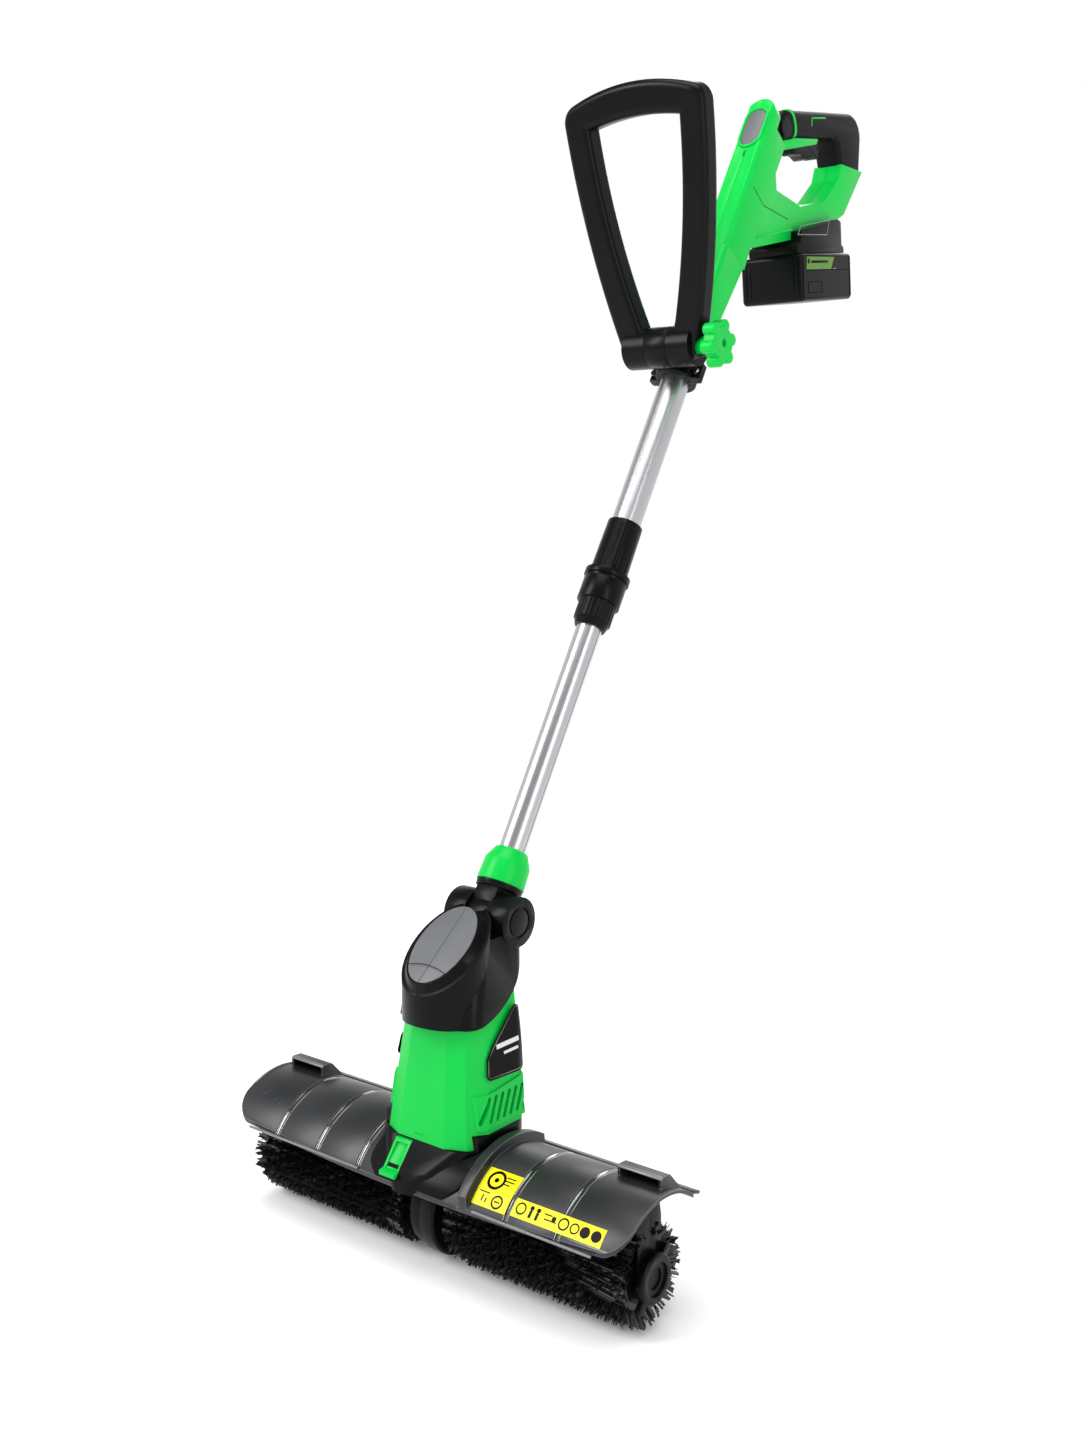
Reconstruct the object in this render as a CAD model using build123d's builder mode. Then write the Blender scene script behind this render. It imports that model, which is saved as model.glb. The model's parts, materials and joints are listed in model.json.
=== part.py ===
"""Cordless roller-brush sweeper, modelled piece by piece in millimetres.

+X runs along the roller brush, +Y points back to the user, +Z is up. The origin is on the ground,
straight below the middle of the brush axis.
"""
import os
from math import cos, radians, sin

from build123d import *

os.makedirs("parts", exist_ok=True)

# ---------------------------------------------------------------- driving dimensions
running_gap = 0.05          # radial gap of a shaft in its bearing
play = 0.3                  # gap between pieces that move past each other

brush_radius = 47.0         # bristle tips, which touch the ground
axis_height = brush_radius
brush_inner = 22.0          # x where each roller starts, beside the gear leg
brush_outer = 216.0         # x where each roller ends
core_radius = 17.0
cross_shaft_radius = 6.0

hood_half = 234.0           # half the hood's length
hood_radius = 76.0
hood_wall = 3.0
hood_seam = 62.0            # x where the right part of the hood starts
hood_tilt = 8.0             # degrees the hood's middle leans forward
hood_reach = 45.0           # degrees from that middle to the front and rear edges
hood_bow = 6.0              # more degrees of reach at the front edge's middle
rib_width = 7.0
channel_places = (-168.0, -113.0, -59.0, 115.0, 170.0)
scoop_middle = 203.0
scoop_width = 45.0

leg_half = 16.0             # half the gear leg's thickness
leg_radius = 43.0

housing_foot = 121.0        # height of the green housing's lower edge
housing_wall = 2.8
motor_back = 20.0           # motor axis behind the brush axis
motor_radius = 22.0

pivot_y = 55.0
pivot_z = 308.0
pole_lean = 31.0            # degrees from upright, leaning back to the user
ear_radius = 23.4
ear_inner = 13.0
ear_outer = 36.0
neck_radius = 22.0

lower_tube_radius = 13.0
upper_tube_radius = 15.0
tube_wall = 1.2
socket_foot = 30.6          # distances along the pole from the pivot
socket_top = 65.3
nut_foot = 301.0
nut_top = 352.0
collar_top = 417.5
clamp_foot = 590.0
clamp_top = 630.0
sleeve_foot = 642.0
arm_seam = 750.0
arm_top = 946.0

hub_ahead = 34.6            # front handle's axis in front of the pole's axis
hub_along = 607.7
hub_radius = 21.0
bow_lean = -13.7            # degrees of the front handle from upright, leaning forward
bow_depth = 26.0

arm_half = 18.0
battery_tilt = 7.5
battery_width = 78.0
battery_length = 120.0
battery_depth = 52.0

# ---------------------------------------------------------------- places
pole_up = Vector(0, sin(radians(pole_lean)), cos(radians(pole_lean)))
pole_back = Vector(0, cos(radians(pole_lean)), -sin(radians(pole_lean)))
pivot = Vector(0, pivot_y, pivot_z)
hub = pivot + pole_up * hub_along - pole_back * hub_ahead


def pole_plane(along):
    """A plane square to the pole. Local x is +X and local y points to the user."""
    return Plane(origin=pivot + pole_up * along, x_dir=(1, 0, 0), z_dir=pole_up)


def tilted_side(y, z, tilt, offset=0.0):
    """A plane facing +X through (y, z), turned so that its local x rises by tilt degrees."""
    rise = radians(tilt)
    return Plane(origin=(offset, y, z), x_dir=(0, cos(rise), sin(rise)), z_dir=(1, 0, 0))


brush_line = Plane(origin=(0, 0, axis_height), x_dir=(0, 1, 0), z_dir=(1, 0, 0))


def save(builder, name):
    """Label a finished piece and write it."""
    builder.part.label = name
    export_step(builder.part, f"parts/{name}.step")


def ring(plane, outer, inner, length):
    """A plain ring that starts on the plane."""
    with BuildPart() as made:
        with BuildSketch(plane):
            Circle(outer)
            Circle(inner, mode=Mode.SUBTRACT)
        extrude(amount=length)
    return made.part


# ---------------------------------------------------------------- roller brush
for side, word in ((-1, "left"), (1, "right")):
    start = brush_inner if side > 0 else -brush_outer
    length = brush_outer - brush_inner
    with BuildPart() as brush_core:
        add(ring(brush_line.offset(start), core_radius, cross_shaft_radius, length))
        for flange_x in (start, start + length - 2.5):
            add(ring(brush_line.offset(flange_x), core_radius + 7, core_radius - 1, 2.5))
    save(brush_core, f"brush_core_{word}")

    with BuildPart() as bristles:
        add(ring(brush_line.offset(start + 2.5), brush_radius, core_radius, length - 5))
    save(bristles, f"bristles_{word}")

cap_start = brush_outer + 6.5
shaft_half = cap_start - 1.5
with BuildPart() as cross_shaft:
    with BuildSketch(brush_line.offset(-shaft_half)):
        Circle(cross_shaft_radius)
    extrude(amount=2 * shaft_half)
    chamfer(cross_shaft.edges().filter_by(GeomType.CIRCLE), 0.8)
save(cross_shaft, "cross_shaft")

# ---------------------------------------------------------------- end brackets and twist caps
bracket_thick = 3.0
bracket_start = brush_outer + 2.0
bearing_radius = 12.0
inner_hood = hood_radius - hood_wall
for side, word in ((-1, "left"), (1, "right")):
    start = bracket_start if side > 0 else -bracket_start - bracket_thick
    with BuildPart() as end_bracket:
        with BuildSketch(brush_line.offset(start)):
            Circle(bearing_radius + 5)
            with BuildLine():
                Polyline((-17, -6), (-19, 45), (-34, 62), (-30, 80), (10, 80), (16, 50), (17, -4), close=True)
            make_face()
        extrude(amount=bracket_thick)
        with BuildSketch(brush_line.offset(start)):
            Circle(inner_hood)
            Circle(cross_shaft_radius + running_gap, mode=Mode.SUBTRACT)
        extrude(amount=bracket_thick, mode=Mode.INTERSECT)
    save(end_bracket, f"end_bracket_{word}")

cap_radius = 22.3
cap_depth = 6.0
for side, word in ((-1, "left"), (1, "right")):
    outward = Plane(origin=(side * cap_start, 0, axis_height), x_dir=(0, 1, 0), z_dir=(side, 0, 0))
    with BuildPart() as end_cap:
        with BuildSketch(outward.offset(-1.2)):
            Circle(cap_radius)
        extrude(amount=cap_depth + 1.2)
        chamfer(end_cap.faces().filter_by(Axis.X).sort_by(Axis.X)[-1 if side > 0 else 0].edges(), 1.5)
        with BuildSketch(outward.offset(cap_depth)):
            Circle(15)
        extrude(amount=-2.5, mode=Mode.SUBTRACT)
        with BuildSketch(outward.offset(cap_depth)):
            Circle(9.5)
        extrude(amount=-4.5, mode=Mode.SUBTRACT)
        with BuildSketch(outward.offset(-1.2)):
            with PolarLocations(24, 2, start_angle=48 * side):
                SlotOverall(16, 8)
        extrude(amount=5)
    save(end_cap, f"end_cap_{word}")

# ---------------------------------------------------------------- hood
lean = radians(hood_tilt)
hood_plane = Plane(origin=(0, 0, axis_height), x_dir=(1, 0, 0), z_dir=(0, -sin(lean), cos(lean)))
hood_end = hood_radius * sin(radians(hood_reach))
hood_front = hood_radius * sin(radians(hood_reach + hood_bow))


def hood_shell(outer, inner, start, stop):
    """The part of a tube round the brush axis that the hood's outline keeps."""
    with BuildPart() as made:
        with BuildSketch(hood_plane):
            with BuildLine():
                ThreePointArc((-hood_half, -hood_end), (0, -hood_front), (hood_half, -hood_end))
                Line((hood_half, -hood_end), (hood_half, hood_end))
                Line((hood_half, hood_end), (-hood_half, hood_end))
                Line((-hood_half, hood_end), (-hood_half, -hood_end))
            outline = make_face()
            front_corners = outline.vertices().group_by(Axis.Y)[0]
            fillet(front_corners, 22)
        extrude(amount=outer + 10)
        with BuildSketch(brush_line.offset(start)):
            Circle(outer)
            Circle(inner, mode=Mode.SUBTRACT)
        extrude(amount=stop - start, mode=Mode.INTERSECT)
    return made.part


def scoop(middle):
    """A raised block on the hood's top, open to the front."""
    foot = hood_radius - 1.5
    with BuildPart() as made:
        with BuildSketch(brush_line.offset(middle - scoop_width / 2)):
            with BuildLine():
                Polyline((9, foot - 4), (9, foot + 11), (22, foot + 10), (42, foot - 12), close=True)
            make_face()
        extrude(amount=scoop_width)
        fillet(made.edges().filter_by(Axis.X).sort_by(Axis.Z)[-2:], 3)
        with BuildSketch(brush_line.offset(middle - scoop_width / 2 + 2.5)):
            with BuildLine():
                Polyline((8, foot - 4), (8, foot + 8.5), (20, foot + 7.5), (34, foot - 10), close=True)
            make_face()
        extrude(amount=scoop_width - 5, mode=Mode.SUBTRACT)
        with BuildSketch(brush_line.offset(middle - scoop_width)):
            Circle(hood_radius - 0.5)
        extrude(amount=2 * scoop_width, mode=Mode.SUBTRACT)
    return made.part


def channels(low, high):
    """What is cut away for the shallow channels that run round the hood between two places."""
    with BuildPart() as made:
        for place in channel_places:
            if low < place < high:
                start = brush_line.offset(place - rib_width / 2)
                add(ring(start, hood_radius + 5, hood_radius - 1.2, rib_width))
    return made.part


with BuildPart() as hood_left:
    add(hood_shell(hood_radius, inner_hood, -hood_half, hood_seam))
    add(channels(-hood_half, hood_seam), mode=Mode.SUBTRACT)
    add(scoop(-scoop_middle))
    with BuildSketch(Plane.XY.offset(axis_height)):
        Rectangle(52, 50)
    extrude(amount=100, mode=Mode.SUBTRACT)
save(hood_left, "hood_left")

with BuildPart() as hood_right:
    add(hood_shell(hood_radius, inner_hood, hood_seam, hood_half))
    add(channels(hood_seam, hood_half), mode=Mode.SUBTRACT)
    add(scoop(scoop_middle))
    add(hood_shell(hood_radius + 8, hood_radius - 1, hood_seam + 3, hood_seam + 12))
save(hood_right, "hood_right")

# stickers wrap the front of the hood's right part
with BuildPart() as hood_stickers:
    for low_x, high_x, low_turn, high_turn in ((76.0, 113.0, 37.0, 64.0), (118.5, 212.0, 38.0, 50.0)):
        with BuildPart(mode=Mode.PRIVATE) as sticker:
            add(ring(brush_line.offset(low_x), hood_radius + 0.3, hood_radius, high_x - low_x))
            middle_turn = radians((low_turn + high_turn) / 2)
            half_chord = hood_radius * sin(radians((high_turn - low_turn) / 2))
            facing = Plane(
                origin=((low_x + high_x) / 2, 0, axis_height),
                x_dir=(1, 0, 0),
                z_dir=(0, -cos(middle_turn), sin(middle_turn)),
            )
            with BuildSketch(facing):
                Rectangle(high_x - low_x, 2 * half_chord)
            extrude(amount=hood_radius + 5, mode=Mode.INTERSECT)
        add(sticker.part)
save(hood_stickers, "hood_stickers")

# ---------------------------------------------------------------- gear leg
leg_top = 128.0
leg_neck = 20.0
leg_screw_places = (-14.5, 14.5)
leg_screw_height = 108.0
for side, word, radius in ((-1, "left", leg_radius - 1), (1, "right", leg_radius + 2)):
    outward = Plane(origin=(0, 0, axis_height), x_dir=(0, 1, 0), z_dir=(side, 0, 0))
    neck_centre = side * (leg_top - axis_height) / 2
    with BuildPart() as gear_leg:
        with BuildSketch(outward):
            Circle(radius)
            with Locations((0, neck_centre)):
                Rectangle(2 * leg_neck, leg_top - axis_height)
        extrude(amount=leg_half)
        fillet(gear_leg.faces().filter_by(Axis.X).sort_by(Axis.X)[-1 if side > 0 else 0].edges(), 3)
        with BuildSketch(outward):
            Circle(leg_radius - 7)
        extrude(amount=leg_half - 3, mode=Mode.SUBTRACT)
        with BuildSketch(outward):
            Circle(bearing_radius)
        extrude(amount=leg_half - 0.8, mode=Mode.SUBTRACT)
        with BuildSketch(outward):
            Circle(cross_shaft_radius + play)
        extrude(amount=leg_half, mode=Mode.SUBTRACT)
        with BuildSketch(Plane.XY.offset(axis_height)):
            Circle(9)
        extrude(amount=100, mode=Mode.SUBTRACT)
        for screw_y in leg_screw_places:
            with BuildSketch(Plane.YZ.offset(-leg_half + 4)):
                with Locations((screw_y, leg_screw_height)):
                    Circle(1.6)
            extrude(amount=2 * leg_half - 4, mode=Mode.SUBTRACT)
            with BuildSketch(Plane.YZ.offset(leg_half - 1.5)):
                with Locations((screw_y, leg_screw_height)):
                    Circle(3.2)
            extrude(amount=3, mode=Mode.SUBTRACT)
    save(gear_leg, f"gear_leg_{word}")

with BuildPart() as leg_screws:
    for screw_y in leg_screw_places:
        with BuildSketch(Plane.YZ.offset(leg_half - 1.5)):
            with Locations((screw_y, leg_screw_height)):
                Circle(3.2)
        extrude(amount=2.7)
        with BuildSketch(Plane.YZ.offset(-leg_half + 4)):
            with Locations((screw_y, leg_screw_height)):
                Circle(1.6)
        extrude(amount=2 * leg_half - 5.5)
save(leg_screws, "leg_screws")

# ---------------------------------------------------------------- gear train
bearing_width = 7.0
shaft_radius = 4.0
with BuildPart() as ball_bearings:
    for start in (-leg_half + 0.8, leg_half - 4.0):
        add(ring(brush_line.offset(start), bearing_radius, cross_shaft_radius + running_gap, 3.2))
    add(ring(Plane.XY.offset(104), 9, shaft_radius + running_gap, bearing_width))
save(ball_bearings, "ball_bearings")

crown_face = 6.9
with BuildPart() as crown_gear:
    add(ring(brush_line.offset(crown_face), 28, cross_shaft_radius, 4))
    add(ring(brush_line.offset(-8), 10, cross_shaft_radius, crown_face + 8))
    with BuildSketch(brush_line.offset(crown_face)):
        with PolarLocations(24.5, 32):
            Rectangle(8, 2.2)
    extrude(amount=1.4, mode=Mode.SUBTRACT)
save(crown_gear, "crown_gear")

with BuildPart() as bevel_pinion:
    with BuildSketch(Plane.XY.offset(69)):
        Circle(6.5)
        with PolarLocations(6.5, 8):
            Circle(1.0, mode=Mode.SUBTRACT)
        Circle(shaft_radius, mode=Mode.SUBTRACT)
    extrude(amount=11)
save(bevel_pinion, "bevel_pinion")

gear_level = 138.0
with BuildPart() as drive_shaft:
    with BuildSketch(Plane.XY.offset(60)):
        Circle(shaft_radius)
    extrude(amount=92)
    chamfer(drive_shaft.edges().filter_by(GeomType.CIRCLE), 0.6)
save(drive_shaft, "drive_shaft")

with BuildPart() as spur_gear:
    with BuildSketch(Plane.XY.offset(gear_level)):
        Circle(15)
        with PolarLocations(15, 30):
            Circle(0.8, mode=Mode.SUBTRACT)
        Circle(shaft_radius, mode=Mode.SUBTRACT)
    extrude(amount=7)
save(spur_gear, "spur_gear")

plate_level = 149.0
with BuildPart() as gear_plate:
    with BuildSketch(Plane.XY.offset(plate_level)):
        with Locations((0, 6)):
            RectangleRounded(72, 66, 12)
        Circle(shaft_radius + running_gap, mode=Mode.SUBTRACT)
        with Locations((0, motor_back)):
            Circle(6, mode=Mode.SUBTRACT)
    extrude(amount=4)
save(gear_plate, "gear_plate")

motor_foot = plate_level + 4
motor_top = 208.0
with BuildPart() as motor_can:
    with BuildSketch(Plane.XY.offset(motor_foot)):
        with Locations((0, motor_back)):
            Circle(motor_radius)
    extrude(amount=motor_top - motor_foot)
    fillet(motor_can.faces().sort_by(Axis.Z)[-1].edges(), 3)
    with BuildSketch(Plane.XY.offset(motor_foot)):
        with Locations((0, motor_back)):
            Circle(2.5 + running_gap)
    extrude(amount=motor_top - motor_foot, mode=Mode.SUBTRACT)
save(motor_can, "motor_can")

with BuildPart() as motor_shaft:
    with BuildSketch(Plane.XY.offset(gear_level - 3)):
        with Locations((0, motor_back)):
            Circle(2.5)
    extrude(amount=motor_top + 12 - gear_level + 3)
save(motor_shaft, "motor_shaft")

with BuildPart() as motor_pinion:
    with BuildSketch(Plane.XY.offset(gear_level - 2)):
        with Locations((0, motor_back)):
            Circle(4.6)
            with PolarLocations(4.6, 9):
                Circle(0.7, mode=Mode.SUBTRACT)
            Circle(2.5, mode=Mode.SUBTRACT)
    extrude(amount=11)
save(motor_pinion, "motor_pinion")

with BuildPart() as motor_fan:
    with BuildSketch(Plane.XY.offset(motor_top + 2)):
        with Locations((0, motor_back)):
            Circle(18)
            Circle(2.5, mode=Mode.SUBTRACT)
    extrude(amount=1.5)
    with BuildSketch(Plane.XY.offset(motor_top + 3.5)):
        with Locations((0, motor_back)):
            with PolarLocations(11.5, 9):
                Rectangle(12, 1.4)
    extrude(amount=6)
save(motor_fan, "motor_fan")

# ---------------------------------------------------------------- green motor housing
# height, half width, front y, rear y, corner radius
housing_levels = (
    (housing_foot, 59.0, -42.0, 46.0, 24.0),
    (175.0, 56.0, -38.0, 50.0, 24.0),
    (245.0, 45.0, -26.0, 58.0, 20.0),
    (300.0, 34.0, 0.0, 68.0, 16.0),
)


def housing_body(grow):
    """The solid that the housing's outside follows, made larger all round by grow."""
    with BuildPart() as made:
        for level, half, front, back, corner in housing_levels:
            with BuildSketch(Plane.XY.offset(level)):
                with Locations((0, (front + back) / 2)):
                    RectangleRounded(2 * (half + grow), back - front + 2 * grow, corner + grow)
        loft(ruled=True)
    return made.part


def above_parting(lift, reach=200.0):
    """Everything above the curve where the black cover meets the green housing."""
    with BuildPart() as made:
        with BuildSketch(Plane.YZ.offset(-reach)):
            with BuildLine():
                ThreePointArc((-80, 243 + lift), (-8, 229 + lift), (56, 272 + lift))
                Line((56, 272 + lift), (90, 310 + lift))
                Line((90, 310 + lift), (90, 420))
                Line((90, 420), (-80, 420))
                Line((-80, 420), (-80, 243 + lift))
            make_face()
        extrude(amount=2 * reach)
    return made.part


band_low = 138.0
band_high = 171.0
vent_lean = 25.0
with BuildPart() as vent_band:
    with BuildSketch(Plane.XY.offset(band_low)):
        with Locations((0, 20)):
            Rectangle(150, 80)
    extrude(amount=band_high - band_low)
    add(housing_body(2.0), mode=Mode.INTERSECT)

with BuildPart() as motor_housing:
    add(housing_body(0))
    add(vent_band)
    add(housing_body(-housing_wall), mode=Mode.SUBTRACT)
    add(above_parting(0), mode=Mode.SUBTRACT)
    with BuildSketch(Plane.YZ.offset(-80)):
        for number in range(7):
            with Locations((-16 + 9.0 * number, 155)):
                SlotOverall(27, 4.0, rotation=90 - vent_lean)
    extrude(amount=160, mode=Mode.SUBTRACT)
    with BuildSketch(Plane.YZ.offset(-80)):
        with Locations((22, 125)):
            Rectangle(100, 17)
    extrude(amount=160, mode=Mode.SUBTRACT)
save(motor_housing, "motor_housing")

with BuildPart() as side_labels:
    for side in (-1, 1):
        with BuildPart(mode=Mode.PRIVATE) as label:
            add(housing_body(0.4))
            add(housing_body(0), mode=Mode.SUBTRACT)
            with BuildSketch(Plane.YZ.offset(0)):
                with BuildLine():
                    Polyline((-14, 181), (-11, 200), (0, 211), (40, 243), (43, 178), close=True)
                panel = make_face()
                fillet(panel.vertices(), 5)
            extrude(amount=80 * side, mode=Mode.INTERSECT)
            add(above_parting(0), mode=Mode.SUBTRACT)
        add(label.part)
save(side_labels, "side_labels")

# ---------------------------------------------------------------- black base and latch
latch_middle = -18.0
latch_width = 19.0
latch_low = 91.0
latch_high = 119.0
with BuildPart() as base:
    for level, half, front, back, corner in (
        (82.0, 24.0, -70.0, 40.0, 22.0),
        (100.0, 42.0, -61.0, 44.0, 28.0),
        (housing_foot, 58.5, -42.0, 46.0, 24.0),
        (133.2, 58.0, -41.0, 46.5, 24.0),
    ):
        with BuildSketch(Plane.XY.offset(level)):
            with Locations((0, (front + back) / 2)):
                RectangleRounded(2 * half, back - front, corner)
    loft(ruled=True)
    with BuildSketch(Plane.XY.offset(housing_foot)):
        with Locations((0, -52)):
            Rectangle(130, 48)
    extrude(amount=20, mode=Mode.SUBTRACT)
    with BuildSketch(brush_line.offset(-80)):
        Circle(hood_radius + 0.02)
    extrude(amount=160, mode=Mode.SUBTRACT)
    with BuildSketch(Plane.XY.offset(60)):
        with Locations((0, 6)):
            RectangleRounded(76, 68, 10)
    extrude(amount=100, mode=Mode.SUBTRACT)
    with BuildSketch(Plane.XZ.offset(38)):
        with Locations((latch_middle, (latch_low + latch_high) / 2 + 0.4)):
            Rectangle(latch_width + 2 * play, latch_high - latch_low + 1.4)
    extrude(amount=60, mode=Mode.SUBTRACT)
save(base, "base")

with BuildPart() as head_latch:
    with BuildSketch(Plane.YZ.offset(latch_middle - latch_width / 2)):
        with BuildLine():
            Polyline((-38.5, latch_high), (-38.5, latch_low), (-68, latch_low), (-68, latch_low + 4))
            Polyline((-68, latch_low + 4), (-62, latch_low + 5.5), (-45, latch_high), (-38.5, latch_high))
        make_face()
    extrude(amount=latch_width)
    with BuildSketch(Plane.YZ.offset(latch_middle - latch_width / 2 + 2.5)):
        with BuildLine():
            Polyline(
                (-80, latch_low + 5),
                (-61, latch_low + 5),
                (-43.5, latch_high - 3),
                (-80, latch_high - 3),
                close=True,
            )
        make_face()
    extrude(amount=latch_width - 5, mode=Mode.SUBTRACT)
    with BuildSketch(brush_line.offset(-80)):
        Circle(hood_radius + play)
    extrude(amount=160, mode=Mode.SUBTRACT)
save(head_latch, "head_latch")

# ---------------------------------------------------------------- pivot cover, ears and pin
cover_slope = 39.0
slope = radians(cover_slope)
cover_middle = Vector(0, -9.7, 296.5)
cover_x = Vector(0, cos(slope), sin(slope))
cover_up = Vector(0, -sin(slope), cos(slope))


def cover_plane(lift=0.0):
    """The plane of the oval pad. Local x climbs towards the pivot."""
    return Plane(origin=cover_middle + cover_up * lift, x_dir=cover_x, z_dir=cover_up)


def cover_solid(shrink, sunk):
    """The cover's pod: an oval top, a chamfer, a ridge and a skirt that goes straight down."""
    with BuildPart() as made:
        with BuildSketch(cover_plane(-sunk)):
            Ellipse(45 - shrink, 31 - shrink)
        with BuildSketch(cover_plane(-7 - sunk)):
            Ellipse(50 - shrink, 36.5 - shrink)
        loft(ruled=True)
        with BuildSketch(cover_plane(-7 - sunk)):
            Ellipse(53 - shrink, 40 - shrink)
        extrude(amount=110, dir=(0, 0, -1))
    return made.part


ear_plane = Plane(origin=(0, pivot_y, pivot_z), x_dir=(0, 1, 0), z_dir=(1, 0, 0))
cover_floor = pivot_z - ear_radius - 1
with BuildPart() as pivot_cover:
    add(cover_solid(0, 0))
    add(housing_body(0))
    add(above_parting(0), mode=Mode.INTERSECT)
    with BuildPart(mode=Mode.PRIVATE) as hollow:
        add(housing_body(-housing_wall))
        with BuildSketch(Plane.XY.offset(cover_floor)):
            Rectangle(200, 300)
        extrude(amount=100, mode=Mode.SUBTRACT)
    add(hollow.part, mode=Mode.SUBTRACT)
    add(cover_solid(3, 4), mode=Mode.SUBTRACT)
    for start in (-ear_outer, ear_inner):
        with BuildSketch(ear_plane.offset(start)):
            Circle(ear_radius)
        extrude(amount=ear_outer - ear_inner)
    with BuildSketch(cover_plane(-2)):
        Ellipse(43.2, 29.2)
    extrude(amount=10, mode=Mode.SUBTRACT)
    with BuildSketch(ear_plane.offset(-ear_inner)):
        Circle(20.5)
        with Locations((0, 30)):
            Rectangle(100, 60)
    extrude(amount=2 * ear_inner, mode=Mode.SUBTRACT)
    for start in (-ear_outer - 1, ear_outer - 1.5):
        with BuildSketch(ear_plane.offset(start)):
            Circle(14.5)
            Circle(12.5, mode=Mode.SUBTRACT)
        extrude(amount=2.5, mode=Mode.SUBTRACT)
    with BuildSketch(ear_plane.offset(-33)):
        Circle(5)
    extrude(amount=66, mode=Mode.SUBTRACT)
for side, word in ((-1, "left"), (1, "right")):
    with BuildPart() as cover_half:
        add(pivot_cover.part)
        split(bisect_by=Plane.YZ, keep=Keep.TOP if side > 0 else Keep.BOTTOM)
    save(cover_half, f"pivot_cover_{word}")

with BuildPart() as cover_pad:
    with BuildSketch(cover_plane(-2)):
        Ellipse(43, 29)
    extrude(amount=2)
    with BuildSketch(cover_plane(-0.5)):
        Rectangle(90, 0.8)
    extrude(amount=2, mode=Mode.SUBTRACT)
save(cover_pad, "cover_pad")

with BuildPart() as pivot_pin:
    with BuildSketch(ear_plane.offset(-33)):
        Circle(5)
    extrude(amount=66)
save(pivot_pin, "pivot_pin")

# ---------------------------------------------------------------- pole
with BuildPart() as pole_neck:
    with BuildSketch(ear_plane.offset(-ear_inner + play)):
        Circle(20)
    extrude(amount=2 * (ear_inner - play))
    with BuildSketch(pole_plane(0)):
        Rectangle(2 * (ear_inner - play), 34)
    extrude(amount=socket_foot)
    with BuildSketch(pole_plane(25)):
        Circle(neck_radius)
    with BuildSketch(pole_plane(socket_foot)):
        Circle(neck_radius + 1)
    loft()
    with BuildSketch(ear_plane.offset(-20)):
        Circle(5 + running_gap)
    extrude(amount=40, mode=Mode.SUBTRACT)
save(pole_neck, "pole_neck")

socket_shoulder = 52.4
with BuildPart() as pole_socket:
    with BuildSketch(pole_plane(socket_foot)):
        Circle(23.4)
    with BuildSketch(pole_plane(socket_shoulder)):
        Circle(22.4)
    loft()
    with BuildSketch(pole_plane(socket_shoulder)):
        Circle(22.4)
    with BuildSketch(pole_plane(socket_top)):
        Circle(16)
    loft()
    with BuildSketch(pole_plane(socket_foot + 3)):
        Circle(lower_tube_radius)
    extrude(amount=60, mode=Mode.SUBTRACT)
save(pole_socket, "pole_socket")

lower_tube_top = 460.0
with BuildPart() as lower_tube:
    with BuildSketch(pole_plane(socket_foot + 3)):
        Circle(lower_tube_radius)
        with Locations((lower_tube_radius, 0)):
            Rectangle(1.2, 3, mode=Mode.SUBTRACT)
        Circle(lower_tube_radius - tube_wall - 0.8, mode=Mode.SUBTRACT)
    extrude(amount=lower_tube_top - socket_foot - 3)
save(lower_tube, "lower_tube")

upper_bore = upper_tube_radius - tube_wall
upper_tube_foot = 356.0
upper_tube_top = 705.0
with BuildPart() as upper_tube:
    add(ring(pole_plane(upper_tube_foot), upper_tube_radius, upper_bore, upper_tube_top - upper_tube_foot))
save(upper_tube, "upper_tube")

flutes = 10
with BuildPart() as collar:
    with BuildSketch(pole_plane(nut_top)):
        Circle(19)
    with BuildSketch(pole_plane(collar_top)):
        Circle(18)
    loft()
    with BuildSketch(pole_plane(nut_top)):
        with PolarLocations(19.6, flutes):
            Circle(1.6)
    extrude(amount=collar_top - nut_top + 1, mode=Mode.SUBTRACT)
    add(ring(pole_plane(nut_top + 3), 23.2, 18, 6))
    add(ring(pole_plane(nut_top), 20.4, 18, 3))
    with BuildSketch(pole_plane(nut_top + 4)):
        Circle(upper_tube_radius)
    extrude(amount=80, mode=Mode.SUBTRACT)
    with BuildSketch(pole_plane(nut_top - 1)):
        Circle(lower_tube_radius + running_gap)
    extrude(amount=20, mode=Mode.SUBTRACT)
save(collar, "collar")

with BuildPart() as collar_nut:
    with BuildSketch(pole_plane(nut_foot + 7)):
        Circle(19)
        with PolarLocations(20.2, 2 * flutes):
            Circle(1.7, mode=Mode.SUBTRACT)
    extrude(amount=nut_top - play - nut_foot - 7)
    with BuildSketch(pole_plane(nut_foot)):
        Circle(15.5)
    with BuildSketch(pole_plane(nut_foot + 7)):
        Circle(18)
    loft()
    add(ring(pole_plane(328), 21.8, 18, nut_top - play - 328))
    with BuildSketch(pole_plane(nut_foot - 1)):
        Circle(lower_tube_radius + play)
    extrude(amount=nut_top - nut_foot + 2, mode=Mode.SUBTRACT)
    with BuildSketch(pole_plane(nut_foot + 12)):
        Circle(16.2)
    extrude(amount=nut_top - nut_foot, mode=Mode.SUBTRACT)
save(collar_nut, "collar_nut")

with BuildPart() as collet:
    add(ring(pole_plane(nut_foot + 16), 15.9, lower_tube_radius + running_gap, nut_top - nut_foot - 16))
    with BuildSketch(pole_plane(nut_foot + 16)):
        with PolarLocations(14, 3):
            Rectangle(5, 1.6)
    extrude(amount=26, mode=Mode.SUBTRACT)
save(collet, "collet")

# ---------------------------------------------------------------- clamp for the front handle


def front_plane(back=0.0):
    """A plane along the pole that faces forward. Local x is +X, local y runs up the pole."""
    return Plane(origin=pivot + pole_back * back, x_dir=(1, 0, 0), z_dir=-pole_back)


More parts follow.
